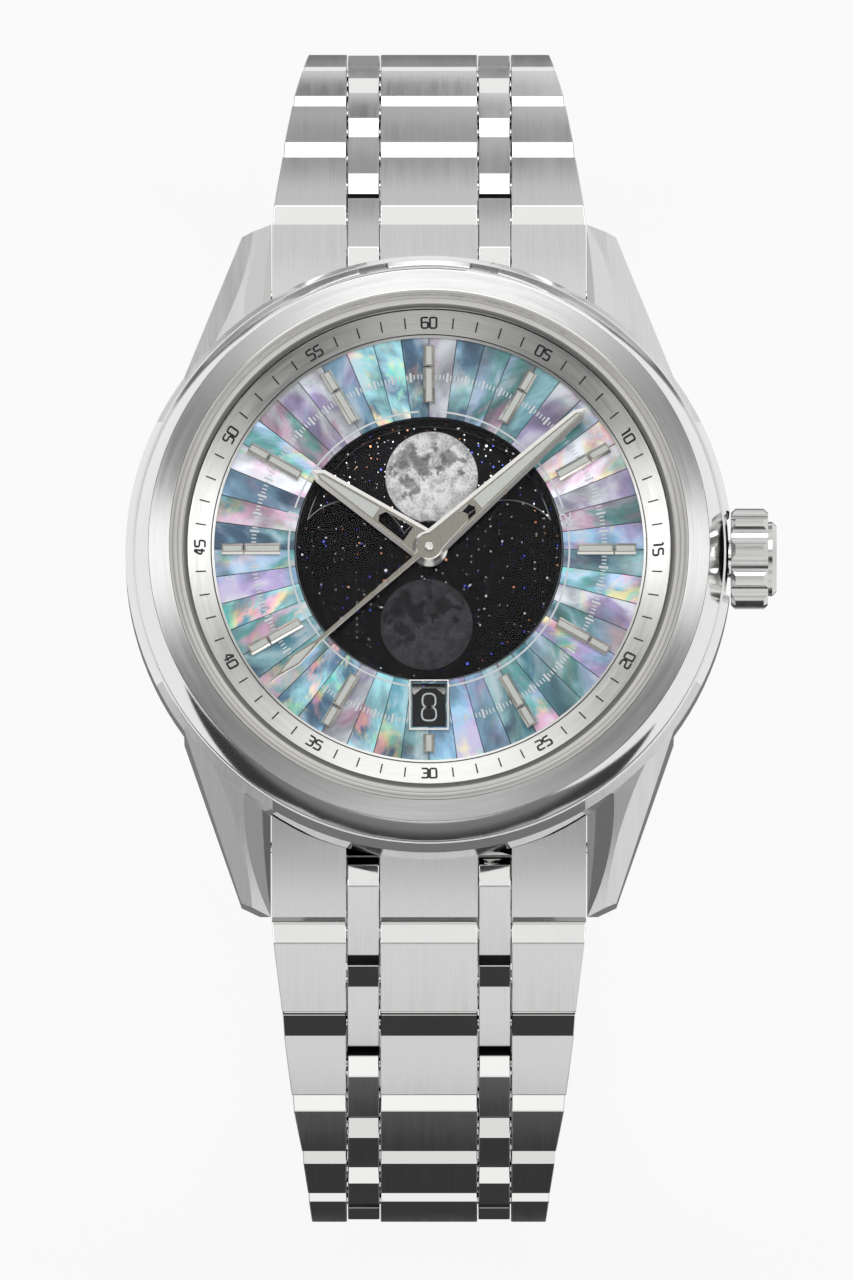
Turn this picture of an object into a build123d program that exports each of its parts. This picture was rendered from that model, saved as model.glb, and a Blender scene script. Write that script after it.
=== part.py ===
from build123d import *
import os
from math import atan2, cos, degrees, hypot, pi, radians, sin, sqrt

# A wristwatch on a steel bracelet, in millimetres. The origin is the centre of
# the case back's outer face, +Z goes out of the dial, +Y to 12 o'clock and +X
# to 3 o'clock, where the crown is.

# Fits shared by every piece
running_clearance = 0.05
press_clearance = 0.01
seat_clearance = 0.03
cut_overrun = 1.0
quarter_turn = 90
full_turn = 360

# Case: heights are above the case back's outer face
dial_height = 10.2
lug_width = 22.12
case_radius = 21.2
case_foot_inset = 3.8
case_foot_radius = case_radius - case_foot_inset
case_foot_height = 1.5
case_waist_inset = 2.9
case_waist_radius = case_radius - case_waist_inset
case_waist_height = 2.0
case_belly_inset = 0.2
case_belly_radius = case_radius - case_belly_inset
case_belly_height = 5.2
case_band_low = 6.0
case_band_drop = 1.6
case_top_inset = 0.45
case_top_radius = case_radius - case_top_inset
case_shoulder_drop = 0.05
case_bore_radius = 16.0
crown_notch_half_width = 3.0
crown_notch_x = case_top_radius
crown_notch_half_height = 2.6

# Lugs: places in the plan of one lug, outward from the bracelet's end link,
# and its side profile
lug_inner_x = lug_width / 2
lug_root_width = 3.14
lug_root = (lug_inner_x + lug_root_width, 9.8)
lug_kink_width = 6.04
lug_kink = (lug_inner_x + lug_kink_width, 12.5)
lug_tip_width = 2.04
lug_tip_outer = (lug_inner_x + lug_tip_width, 23.7)
lug_tip_inner_y = 24.65
lug_root_inner_y = 12.2
lug_top_start_drop = 0.8
lug_top_start = (12.5, dial_height - lug_top_start_drop)
lug_top_middle_drop = 3.88
lug_top_middle = (18.85, dial_height - lug_top_middle_drop)
lug_top_end = (24.65, 2.3)
lug_foot_start = (11.5, 2.6)
lug_foot_end = (24.3, 0.35)
lug_facet_y = 16.5
lug_facet_width = 1.85
lug_facet_drop = 0.95
lug_edge_chamfer = 0.55

# Bezel, crystal and its gasket
bezel_seat_drop = 0.6
bezel_radius = 20.6
bezel_band = 0.45
bezel_ring_radius = 19.6
bezel_chamfer_height = 1.9
bezel_inner_radius = 18.1
bezel_ring_rise = 0.28
bezel_bore_radius = 16.9
bezel_spigot_radius = 18.0
bezel_spigot_length = 0.8
gasket_ledge = 1.4
gasket_foot = 0.2
gasket_top = 2.05
crystal_radius = 17.75
crystal_thickness = 1.0
crystal_bevel = 0.55
crystal_bevel_height = 0.35

# Case back with its window
back_radius = 17.2
back_flange = 1.5
back_spigot_radius = 16.6
back_spigot_top = 2.6
back_bore_radius = 14.6
back_crystal_radius = 13.6
back_crystal_thickness = 1.3
back_lip_radius = 13.0
back_lip_top = 2.0
seal_wire = 0.35
back_slot_count = 6
back_slot_phase_share = 0.5
back_slot_length = 1.6
back_slot_width = 2.4
back_slot_depth = 0.6

# Dial side
dial_plate_thickness = 0.35
wedge_thickness = 0.2
dial_plate_clearance = 0.05
dial_plate_radius = bezel_bore_radius - dial_plate_clearance
minute_ring_width = 1.85
minute_ring_inner = dial_plate_radius - minute_ring_width
dial_opening_radius = 9.35
wedge_overlap = 0.4
wedge_outer_radius = minute_ring_inner + wedge_overlap
wedge_inset = 0.07
wedge_inner_radius = dial_opening_radius + wedge_inset
wedge_count = 48
wedge_gap = 0.03
minute_ring_lip = 0.2
minute_ring_rise = 0.85
cover_thickness = 0.3
cover_ledge_width = 0.25
cover_sink = 0.1
crescent_radius = 8.7
lobe_radius = 4.06
lobe_x = 5.43
lobe_y = -0.5
hub_cover_radius = 2.1
moon_disc_radius = 9.55
moon_disc_thickness = 0.17
moon_disc_drop = 0.6
date_ring_outer = 13.2
date_ring_inner = 9.75
date_ring_thickness = 0.25
date_teeth = 31
date_tooth_depth = 0.5
date_tooth_shares = (0, 0.5, 0.75)
date_window_radius = 11.06
date_window_width = 2.35
date_window_length = 3.1
date_frame_width = 2.81
date_frame_length = 3.6
date_frame_height = 0.22
date_sleeve_wall = 0.1
marker_width = 0.8
marker_height = 0.35
marker_chamfer = 0.16
marker_outer = (12.98, 14.46)
marker_inner = (10.37, 12.88)
marker_six = (13.15, 14.46)

# Hands: bottom and top above the dial, then the outlines along the hand
hour_hand_level = (0.4, 0.62)
minute_hand_level = (0.8, 1.0)
second_hand_level = (1.12, 1.22)
second_hub_top = 1.42
hour_hand_turn = 304
minute_hand_turn = 48
second_hand_turn = 229
hour_hand_length = 9.9
hour_hand_widths = (2.3, 1.05)
hour_hand_opening = (1.55, 4.2)
hour_hand_insert = (4.45, 9.1)
hour_hub_radius = 1.3
minute_hand_length = 14.8
minute_hand_widths = (2.0, 0.95)
minute_hand_opening = (1.9, 4.35)
minute_hand_insert = (4.6, 14.1)
minute_hub_radius = 1.15
hand_tip_length = 0.75
hand_rail = 0.26
second_hand_length = 14.9
second_hand_width = 0.3
second_diamond = (10.1, 12.3)
second_diamond_width = 0.85
second_tail_length = 3.5
second_tail_width = 0.9
second_hub_radius = 0.93

# Centre arbors
seconds_arbor_radius = 0.2
cannon_bore_radius = 0.28
cannon_radius = 0.66
hour_pipe_bore_radius = 0.74
hour_pipe_radius = 1.0
hour_wheel_radius = 3.0
hour_wheel_teeth = 40
hour_wheel_thickness = 0.12
pipe_clearance = 0.15

# Movement: levels are above the plate's lower face
plate_radius = 13.3
plate_thickness = 3.4
plate_pocket = 2.2
plate_drop = 1.0
holder_outer_clearance = 0.04
holder_length = 4.2
bridge_thickness = 0.9
pocket_clearance = 0.3
wheel_thickness = 0.12
wheel_hub_radius = 0.7
spoke_count = 4
spoke_width = 0.35
rim_width = 0.45
tooth_depth = 0.14
tooth_shares = (0, 0.45, 0.6, 0.85)
arbor_radius = 0.16
jewel_sink = 0.5
bearing_clearance = 0.02
pinion_height = 0.25
pinion_margin = 0.05
centre_wheel_radius = 4.0
centre_wheel_level = 0.85
centre_wheel_teeth = 80
centre_pinion_radius = 0.74
centre_pinion_leaves = 12
centre_arbor_radius = 0.55
third_place = (2.25, -3.9)
third_wheel_radius = 3.85
third_wheel_level = 0.48
third_wheel_teeth = 75
third_pinion_radius = 0.42
third_pinion_leaves = 10
fourth_wheel_radius = 3.9
fourth_wheel_level = 0.2
fourth_wheel_teeth = 72
fourth_pinion_radius = 0.45
fourth_pinion_leaves = 10
escape_place = (-4.05, -1.5)
escape_wheel_radius = 2.0
escape_wheel_level = 0.6
escape_teeth = 15
escape_pinion_radius = 0.3
escape_pinion_leaves = 6
escape_tooth = 0.45
escape_tooth_shares = (0, 0.62, 0.9)
escape_hub_radius = 0.45
escape_arbor_radius = 0.1
pallet_place = (-5.0, -3.7)
pallet_level = 0.6
pallet_arm_reach = 1.24
pallet_arm_width = 0.3
pallet_tail_reach = 2.7
balance_place = (-5.85, -7.1)
balance_radius = 3.2
balance_rim = 0.45
balance_level = 0.95
balance_thickness = 0.35
balance_screws = 8
balance_screw_share = 1 / 3
hairspring_level = 0.2
hairspring_width = 0.06
hairspring_height = 0.15
hairspring_inner = 0.55
hairspring_pitch = 0.2
hairspring_turns = 7
hairspring_steps = 24
barrel_place = (-4.25, 4.2)
barrel_radius = 4.75
barrel_tooth_radius = 5.12
barrel_teeth = 78
barrel_level = 1.1
barrel_height = 1.0
barrel_groove = 0.3
barrel_rim_shares = (0.25, 0.6)
barrel_arbor_radius = 0.9
cock_width = 3.0
cock_foot_radius = 1.6
rotor_radius = 12.6
rotor_rim_width = 2.4
rotor_plate_thickness = 0.4
rotor_rim_thickness = 1.5
rotor_gap = 0.25
rotor_post_radius = 1.6
rotor_hub_radius = 2.8
rotor_cap_radius = 2.1
rotor_cap_thickness = 0.2

# Crown with its stem and tube
crown_drop = 3.6
crown_radius = 3.52
crown_sink = 0.1
crown_start = case_radius - crown_sink
crown_length = 2.58
crown_cap_radius = 2.6
crown_cap_length = 0.6
crown_flutes = 10
crown_flute_radius = 1.25
crown_flute_depth = 0.32
crown_edge = 0.3
tube_radius = 1.3
tube_overlap = 1.2
tube_reach = crown_start + tube_overlap
tube_start = 16.2
crown_cavity_clearance = 0.1
crown_cavity_radius = tube_radius + crown_cavity_clearance
crown_cavity_end_gap = 0.7
crown_cavity_depth = tube_overlap + crown_cavity_end_gap
stem_radius = 0.5
stem_end = 8.6
tube_seal_wire = 0.14
tube_seal_inset = 0.5

# Bracelet: shares are of the pitch from pin to pin
link_pitch = 7.97
link_thickness = 3.0
barrel_share = 0.235
facing_share = 0.354
piece_share = 0.9
fixed_pin_share = 0.5
bevel_run = 1.15
bevel_drop = 1.05
end_bevel = 0.3
under_bevel = 0.8
bevel_heel = 0.1
pin_sink = 0.15
centre_half_share = 0.156
centre_half_width = centre_half_share * lug_width
side_half_share = 0.26
side_half_width = side_half_share * lug_width
column_gap = 0.04
width_shares = (0.994, 0.927, 0.868, 0.805, 0.769, 0.746, 0.746, 0.746, 0.746)
hinge_pin_radius = 0.5
first_pin = (22.3, 2.38)
slope_angles_12 = (41, 51, 59.5, 69, 88, 113, 139, 166)
slope_angles_6 = (42, 53, 69, 77, 84, 110, 139, 167)

# End links, fitted between the lugs and hung on the spring bars
end_link_foot = 0.5
end_link_nose = ((24.5, 1.4), (23.9, 0.75), (22.8, 0.5))
end_link_slot_reach = 2.05
end_link_side_gap = 0.08
case_gap = 0.06
spring_bar_place = (19.6, 1.75)
spring_bar_radius = 0.75
spring_bar_tip_radius = 0.4
spring_bar_tip_length = 1.2
spring_bar_tip_gap = 0.1

# Clasp: y runs from its middle to the 12 o'clock end, z is up to the wrist
cover_plate_thickness = 0.9
cover_plate_drop = 1.8
cover_wall = 0.9
cover_wall_top = 0.7
cover_end_gap = 3.2
cover_width_share = 0.78
cover_half = cover_width_share * lug_inner_x
blade_thickness = 0.8
blade_side_gap = 0.93
long_blade_half = cover_half - cover_wall - blade_side_gap
short_blade_half = side_half_width - column_gap
long_blade_level = -1.25
short_blade_level = -0.15
fold_pin_inset = 8.6
cover_pin_inset = 6.2
clasp_pin_radius = 0.4
cover_knuckle_radius = 0.7
cover_pin_drop = 0.1
open_pivot_gap = 0.1
knuckle_radius = 0.95
knuckle_side = 0.15
knuckle_half_width = centre_half_width + knuckle_side
knuckle_gap = 0.1
blade_end_gap = 0.9
blade_front_gap = 2.6
button_width = 4.2
button_height = 1.7
button_proud = 0.8
button_flange = 0.2
button_flange_margin = 0.25
button_level = -0.6
button_y_inset = 9.8


def disc(radius, bottom, top):
    return Pos(0, 0, bottom) * extrude(Circle(radius), top - bottom)


def ring(outer, inner, bottom, top):
    return Pos(0, 0, bottom) * extrude(Circle(outer) - Circle(inner), top - bottom)


def turned(*points):
    return revolve(Plane.XZ * make_face(Polyline(*points, close=True)), Axis.Z)


def rod_along_x(y, z, radius, low, high):
    return Pos(low, y, z) * Rot(0, quarter_turn, 0) * extrude(Circle(radius), high - low)


def mirrored_pair(solid, plane):
    return [solid, mirror(solid, about=plane)]


def at(place, solid):
    return Pos(place[0], place[1], 0) * solid


def clockwise(turn, solid):
    return Rot(0, 0, -turn) * solid


def notched_face(teeth, corner_shares, radii):
    """A round face whose rim repeats the same few corners for every tooth."""
    points = []
    for i in range(teeth):
        for share, r in zip(corner_shares, radii):
            a = 2 * pi * (i + share) / teeth
            points.append((r * cos(a), r * sin(a)))
    return make_face(Polyline(*points, close=True))


def toothed(radius, teeth, bottom, top):
    """A disc whose rim has short straight teeth."""
    root = radius - tooth_depth
    face = notched_face(teeth, tooth_shares, (root, root, radius, radius))
    return Pos(0, 0, bottom) * extrude(face, top - bottom)


def wheel(radius, teeth, hub, level):
    """A spoked, toothed wheel of the movement, its lower face at level."""
    body = toothed(radius, teeth, level, level + wheel_thickness)
    inner = radius - tooth_depth - rim_width
    window = Circle(inner) - Circle(hub + spoke_width)
    for i in range(spoke_count):
        arm = Rectangle(inner + hub, spoke_width, align=(Align.MIN, Align.CENTER))
        window -= Rot(0, 0, i * full_turn / spoke_count) * arm
    hole = extrude(window, wheel_thickness + 2 * cut_overrun)
    return body - Pos(0, 0, level - cut_overrun) * hole


def case_blank(gap):
    """The round case body's outer shape, made larger all round by gap."""
    return turned(
        (0, case_foot_height - gap),
        (case_foot_radius + gap, case_foot_height - gap),
        (case_waist_radius + gap, case_waist_height - gap),
        (case_belly_radius + gap, case_belly_height - gap),
        (case_radius + gap, case_band_low),
        (case_radius + gap, dial_height - case_band_drop),
        (case_top_radius + gap, dial_height - bezel_seat_drop - case_shoulder_drop),
        (case_top_radius + gap, dial_height - bezel_seat_drop),
        (0, dial_height - bezel_seat_drop),
    )


def top_surface_profile(foot_points):
    """A face in (y, z) under the curved top that lugs and end links share."""
    (y0, z0), (y1, z1), (y2, z2) = lug_top_start, lug_top_middle, lug_top_end
    top = ThreePointArc((y0, z0), (y1, z1), (y2, z2))
    rest = Polyline((y2, z2), *foot_points, (foot_points[-1][0], z0), (y0, z0))
    return make_face(top + rest)


def lug():
    """The lug beside 1 o'clock, with its two bevelled edges."""
    plan = make_face(
        Polyline(
            (lug_inner_x, lug_root_inner_y),
            (lug_inner_x, lug_tip_inner_y),
            lug_tip_outer,
            lug_kink,
            lug_root,
            close=True,
        )
    )
    block = extrude(plan, dial_height)
    side = extrude(Plane.YZ * top_surface_profile((lug_foot_end, lug_foot_start)), case_radius)
    body = block & side
    # The inner edge is cut by one plane that fades out at the tip
    facet_z = dial_height - lug_facet_y * (dial_height - lug_top_end[1]) / lug_top_end[0]
    tip = Vector(lug_inner_x, lug_tip_inner_y, lug_top_end[1])
    high = Vector(lug_inner_x + lug_facet_width, lug_facet_y, lug_surface_z(lug_facet_y))
    low = Vector(lug_inner_x, lug_facet_y, lug_surface_z(lug_facet_y) - lug_facet_drop)
    body -= half_space(tip, (low - tip).cross(high - tip))
    # The outer edge has a narrow flat along its whole length
    kink = Vector(lug_kink[0], lug_kink[1], lug_surface_z(lug_kink[1]))
    end = Vector(lug_tip_outer[0], lug_tip_outer[1], lug_surface_z(lug_tip_outer[1]))
    inward = Vector(lug_kink[1] - lug_tip_outer[1], lug_tip_outer[0] - lug_kink[0], 0).normalized()
    top_edge = kink + inward * lug_edge_chamfer
    down = Vector(0, 0, -lug_edge_chamfer)
    body -= half_space(top_edge, (kink + down - top_edge).cross(end + down - top_edge))
    return body


def lug_surface_z(y):
    """Height of the shared top surface at y, from the circle through its points."""
    (y0, z0), (y1, z1), (y2, z2) = lug_top_start, lug_top_middle, lug_top_end
    d = 2 * (y0 * (z1 - z2) + y1 * (z2 - z0) + y2 * (z0 - z1))
    s0, s1, s2 = y0**2 + z0**2, y1**2 + z1**2, y2**2 + z2**2
    centre_y = (s0 * (z1 - z2) + s1 * (z2 - z0) + s2 * (z0 - z1)) / d
    centre_z = (s0 * (y2 - y1) + s1 * (y0 - y2) + s2 * (y1 - y0)) / d
    return centre_z + sqrt((y0 - centre_y) ** 2 + (z0 - centre_z) ** 2 - (y - centre_y) ** 2)


def half_space(point, normal):
    """A large block that lies on the upper side of a plane through point."""
    up = normal if normal.Z > 0 else normal * -1
    size = 2 * case_radius
    blank = Box(size, size, size, align=(Align.CENTER, Align.CENTER, Align.MIN))
    return Plane(origin=point, z_dir=up) * blank


def four_lugs():
    one = lug()
    right = mirrored_pair(one, Plane.XZ)
    return right + [mirror(s, about=Plane.YZ) for s in right]


crown_height = dial_height - crown_drop


def case_middle():
    body = case_blank(0)
    for one in four_lugs():
        body += one
    body -= disc(case_bore_radius, -cut_overrun, dial_height)
    body -= disc(back_spigot_radius + seat_clearance, 0, back_spigot_top + seat_clearance)
    seat_low = dial_height - bezel_seat_drop - bezel_spigot_length
    body -= disc(bezel_spigot_radius + seat_clearance, seat_low, dial_height)
    notch = Box(
        case_radius,
        2 * crown_notch_half_width,
        2 * crown_notch_half_height,
        align=(Align.MIN, Align.CENTER, Align.CENTER),
    )
    body -= Pos(crown_notch_x, 0, crown_height) * notch
    body -= rod_along_x(0, crown_height, tube_radius, 0, case_radius + cut_overrun)
    for sign in (1, -1):
        y, z = spring_bar_place
        reach = lug_inner_x + spring_bar_tip_length
        body -= rod_along_x(sign * y, z, spring_bar_tip_radius + running_clearance, -reach, reach)
    return body


def bezel():
    seat = dial_height - bezel_seat_drop
    top = seat + bezel_band + bezel_chamfer_height
    return turned(
        (bezel_spigot_radius, seat),
        (bezel_radius, seat),
        (bezel_radius, seat + bezel_band),
        (bezel_ring_radius, top),
        (bezel_inner_radius, top + bezel_ring_rise),
        (bezel_inner_radius, dial_height + gasket_ledge),
        (bezel_bore_radius, dial_height + gasket_ledge),
        (bezel_bore_radius, seat - bezel_spigot_length),
        (bezel_spigot_radius, seat - bezel_spigot_length),
    )


def crystal():
    low = dial_height + gasket_ledge + gasket_foot
    top = low + crystal_thickness
    return turned(
        (0, low),
        (crystal_radius, low),
        (crystal_radius, top - crystal_bevel_height),
        (crystal_radius - crystal_bevel, top),
        (0, top),
    )


def crystal_gasket():
    ledge = dial_height + gasket_ledge
    return turned(
        (bezel_bore_radius, ledge),
        (bezel_inner_radius, ledge),
        (bezel_inner_radius, dial_height + gasket_top),
        (crystal_radius, dial_height + gasket_top),
        (crystal_radius, ledge + gasket_foot),
        (bezel_bore_radius, ledge + gasket_foot),
    )


def case_back():
    body = turned(
        (back_crystal_radius + seat_clearance, 0),
        (back_radius, 0),
        (back_radius, back_flange),
        (back_spigot_radius, back_flange),
        (back_spigot_radius, back_spigot_top),
        (back_bore_radius, back_spigot_top),
        (back_bore_radius, back_lip_top),
        (back_lip_radius, back_lip_top),
        (back_lip_radius, back_crystal_thickness),
        (back_crystal_radius + seat_clearance, back_crystal_thickness),
    )
    # Six slots on the flange take the opening key
    slot = Box(back_slot_length, back_slot_width, 2 * back_slot_depth)
    for i in range(back_slot_count):
        turn = Rot(0, 0, (i + back_slot_phase_share) * full_turn / back_slot_count)
        body -= turn * Pos(back_radius, 0, 0) * slot
    return body - back_seal_ring(seal_wire + press_clearance)


def back_seal_ring(wire):
    """The back seal's ring, or with a thicker wire the groove that it lies in."""
    height = (back_flange + back_spigot_top) / 2
    return Pos(0, 0, height) * Torus(back_spigot_radius - seal_wire, wire)


def case_seals():
    """The ring that seals the case back and the one on the crown tube."""
    back = back_seal_ring(seal_wire)
    crown = Pos(tube_reach - tube_seal_inset, 0, crown_height) * Rot(0, quarter_turn, 0) * Torus(
        stem_radius + tube_seal_wire, tube_seal_wire
    )
    return [back, crown]


def dial_plate():
    top = dial_height - wedge_thickness
    low = top - dial_plate_thickness
    ledge = cover_bottom()
    body = ring(dial_plate_radius, dial_opening_radius, low, top)
    body += ring(dial_opening_radius + cut_overrun, dial_opening_radius - cover_ledge_width, low, ledge)
    window = Box(date_window_width, date_window_length, cut_overrun)
    return body - Pos(0, -date_window_radius, low) * window


def cover_bottom():
    return dial_height - cover_sink - cover_thickness


def pearl_wedges():
    """Thin slips of shell, glued edge to edge, with the first joint at 12."""
    low = dial_height - wedge_thickness
    step = 2 * pi / wedge_count
    slip = make_face(
        Polyline(
            (wedge_inner_radius * cos(step / 2), wedge_inner_radius * sin(step / 2) - wedge_gap / 2),
            (wedge_outer_radius * cos(step / 2), wedge_outer_radius * sin(step / 2) - wedge_gap / 2),
            (wedge_outer_radius * cos(step / 2), wedge_gap / 2 - wedge_outer_radius * sin(step / 2)),
            (wedge_inner_radius * cos(step / 2), wedge_gap / 2 - wedge_inner_radius * sin(step / 2)),
            close=True,
        )
    )
    one = Pos(0, 0, low) * extrude(slip, wedge_thickness)
    window = Box(date_window_width, date_window_length, cut_overrun)
    window = Pos(0, -date_window_radius, dial_height) * window
    slips = []
    for i in range(wedge_count):
        piece = Rot(0, 0, quarter_turn + (i + 1 / 2) * full_turn / wedge_count) * one
        slips += solids_of(piece - window)
    return slips


def minute_ring():
    return turned(
        (minute_ring_inner, dial_height),
        (minute_ring_inner, dial_height + minute_ring_lip),
        (dial_plate_radius, dial_height + minute_ring_rise),
        (dial_plate_radius, dial_height),
    )


def marker(span):
    """One bar with bevelled long edges, lying along +Y on the dial."""
    half = marker_width / 2
    section = make_face(
        Polyline(
            (-half, 0),
            (half, 0),
            (half, marker_height - marker_chamfer),
            (half - marker_chamfer, marker_height),
            (marker_chamfer - half, marker_height),
            (-half, marker_height - marker_chamfer),
            close=True,
        )
    )
    bar = extrude(Plane.XZ * section, -(span[1] - span[0]))
    return Pos(0, span[0], dial_height) * bar


def hour_markers():
    bars = []
    for hour in range(12):
        spans = (marker_six,) if hour == 6 else (marker_inner, marker_outer)
        bars += [clockwise(hour * full_turn / 12, marker(span)) for span in spans]
    return bars


def date_frame():
    """A metal frame that drops through the dial's window to its lower face."""
    low = dial_height - wedge_thickness - dial_plate_thickness
    gap = 2 * press_clearance
    sleeve = Rectangle(date_window_width - gap, date_window_length - gap)
    wall = date_sleeve_wall * 2
    sleeve -= Rectangle(date_window_width - gap - wall, date_window_length - gap - wall)
    rim = Rectangle(date_frame_width, date_frame_length)
    rim -= Rectangle(date_window_width - gap - wall, date_window_length - gap - wall)
    frame = Pos(0, 0, low) * extrude(sleeve, dial_height - low)
    frame += Pos(0, 0, dial_height) * extrude(rim, date_frame_height)
    return Pos(0, -date_window_radius, 0) * frame


def moon_cover():
    """A smoked disc with a crescent window between two lobes and the hub."""
    low = cover_bottom()
    window = Circle(crescent_radius)
    window -= Rectangle(2 * crescent_radius, crescent_radius, align=(Align.CENTER, Align.MAX))
    for sign in (1, -1):
        window -= Pos(sign * lobe_x, lobe_y) * Circle(lobe_radius)
    window -= Circle(hub_cover_radius)
    blank = Circle(dial_opening_radius - press_clearance) - Circle(hour_pipe_radius + pipe_clearance)
    blank -= window
    return max(solids_of(Pos(0, 0, low) * extrude(blank, cover_thickness)), key=lambda s: s.volume)


def moon_disc():
    top = dial_height - moon_disc_drop
    return ring(moon_disc_radius, hour_pipe_radius + pipe_clearance, top - moon_disc_thickness, top)


def date_ring():
    """The date ring turns in a track on the plate; its gear teeth face inward."""
    low = dial_height - plate_drop + running_clearance
    radii = (date_ring_inner, date_ring_inner, date_ring_inner + date_tooth_depth)
    face = Circle(date_ring_outer) - notched_face(date_teeth, date_tooth_shares, radii)
    return Pos(0, 0, low) * extrude(face, date_ring_thickness)


def hand_outline(length, widths, start):
    base, tip = widths[0] / 2, widths[1] / 2
    shoulder = length - hand_tip_length
    return make_face(
        Polyline(
            (-base, start),
            (base, start),
            (tip, shoulder),
            (0, length),
            (-tip, shoulder),
            close=True,
        )
    )


def hand_inset(length, widths, span):
    """A slot inside a hand's outline, a rail's width from its edges."""
    slope = (widths[1] - widths[0]) / 2 / (length - hand_tip_length)
    near, far = (widths[0] / 2 + slope * y - hand_rail for y in span)
    low, high = span
    return make_face(Polyline((-near, low), (near, low), (far, high), (-far, high), close=True))


def baton_hand(length, widths, opening, insert, hub, bore, level, turn):
    """A tapering hand with an open slot near its hub and a light insert."""
    low, high = dial_height + level[0], dial_height + level[1]
    plate = hand_outline(length, widths, 0) + Circle(hub)
    plate -= hand_inset(length, widths, opening)
    insert_face = hand_inset(length, widths, insert)
    plate -= insert_face
    plate -= Circle(bore)
    body = Pos(0, 0, low) * extrude(plate, high - low)
    light = Pos(0, 0, low) * extrude(offset(insert_face, -press_clearance), high - low)
    return [clockwise(turn, body), clockwise(turn, light)]


def hour_hand():
    return baton_hand(
        hour_hand_length,
        hour_hand_widths,
        hour_hand_opening,
        hour_hand_insert,
        hour_hub_radius,
        hour_pipe_radius,
        hour_hand_level,
        hour_hand_turn,
    )


def minute_hand():
    return baton_hand(
        minute_hand_length,
        minute_hand_widths,
        minute_hand_opening,
        minute_hand_insert,
        minute_hub_radius,
        cannon_radius,
        minute_hand_level,
        minute_hand_turn,
    )


def second_hand():
    low, high = (dial_height + level for level in second_hand_level)
    half = second_hand_width / 2
    wide = second_diamond_width / 2
    first, widest = second_diamond
    needle = make_face(
        Polyline(
            (-half, 0),
            (half, 0),
            (half, first),
            (wide, widest),
            (0, second_hand_length),
            (-wide, widest),
            (-half, first),
            close=True,
        )
    )
    tail_half = second_tail_width / 2
    tail = Pos(0, tail_half - second_tail_length) * Circle(tail_half)
    tail += Rectangle(
        second_tail_width, second_tail_length - tail_half, align=(Align.CENTER, Align.MAX)
    )
    body = Pos(0, 0, low) * extrude(needle + tail, high - low)
    body += disc(second_hub_radius, low, dial_height + second_hub_top)
    body -= disc(seconds_arbor_radius, 0, dial_height + second_hub_top)
    return clockwise(second_hand_turn, body)


plate_top = dial_height - plate_drop
plate_low = plate_top - plate_thickness
bridge_low = plate_low - bridge_thickness


def hour_wheel():
    low = plate_top + running_clearance
    body = toothed(hour_wheel_radius, hour_wheel_teeth, low, low + hour_wheel_thickness)
    body += disc(hour_pipe_radius, low, dial_height + hour_hand_level[1])
    return body - disc(hour_pipe_bore_radius, 0, 2 * dial_height)


def cannon_pinion():
    low = plate_top + running_clearance
    return ring(cannon_radius, cannon_bore_radius, low, dial_height + minute_hand_level[1])


def centre_wheel():
    level = plate_low + centre_wheel_level
    body = wheel(centre_wheel_radius, centre_wheel_teeth, wheel_hub_radius, level)
    pinion_top = plate_low + barrel_level + barrel_height
    body += toothed(centre_pinion_radius, centre_pinion_leaves, level, pinion_top)
    body += disc(centre_arbor_radius, level, plate_top + running_clearance)
    return body - disc(cannon_bore_radius, 0, 2 * dial_height)


def third_wheel():
    level = plate_low + third_wheel_level
    body = wheel(third_wheel_radius, third_wheel_teeth, wheel_hub_radius, level)
    pinion_top = plate_low + centre_wheel_level + pinion_height
    body += toothed(third_pinion_radius, third_pinion_leaves, level, pinion_top)
    body += disc(arbor_radius, bridge_low + jewel_sink, plate_low + plate_pocket + jewel_sink)
    return at(third_place, body)


def fourth_wheel():
    level = plate_low + fourth_wheel_level
    body = wheel(fourth_wheel_radius, fourth_wheel_teeth, wheel_hub_radius, level)
    pinion_top = plate_low + third_wheel_level + pinion_height
    body += toothed(fourth_pinion_radius, fourth_pinion_leaves, level, pinion_top)
    return body + disc(seconds_arbor_radius, bridge_low + jewel_sink, dial_height + second_hub_top)


def escape_wheel():
    level = plate_low + escape_wheel_level
    root = escape_wheel_radius - escape_tooth
    face = notched_face(escape_teeth, escape_tooth_shares, (root, root, escape_wheel_radius))
    face -= Circle(root - spoke_width)
    face += Circle(escape_hub_radius)
    face += Rectangle(2 * root - spoke_width, spoke_width)
    face += Rectangle(spoke_width, 2 * root - spoke_width)
    body = Pos(0, 0, level) * extrude(face, wheel_thickness)
    pinion_low = plate_low + fourth_wheel_level - pinion_margin
    body += toothed(escape_pinion_radius, escape_pinion_leaves, pinion_low, level + wheel_thickness)
    body += disc(escape_arbor_radius, bridge_low + jewel_sink, plate_low + plate_pocket + jewel_sink)
    return at(escape_place, body)


def pallet_fork():
    """A lever on its own arbor: two arms beside the escape wheel and a tail."""
    level = plate_low + pallet_level
    away = atan2(pallet_place[1] - escape_place[1], pallet_place[0] - escape_place[0])
    tail_turn = atan2(balance_place[1] - pallet_place[1], balance_place[0] - pallet_place[0])
    arms = Rectangle(pallet_arm_width, 2 * pallet_arm_reach)
    face = Rot(0, 0, degrees(away)) * arms
    tail = Rectangle(pallet_tail_reach, pallet_arm_width, align=(Align.MIN, Align.CENTER))
    face += Rot(0, 0, degrees(tail_turn)) * tail
    face += Circle(pallet_arm_width)
    body = Pos(0, 0, level) * extrude(face, wheel_thickness)
    body += disc(escape_arbor_radius, bridge_low + jewel_sink, plate_low + plate_pocket + jewel_sink)
    return at(pallet_place, body)


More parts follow.
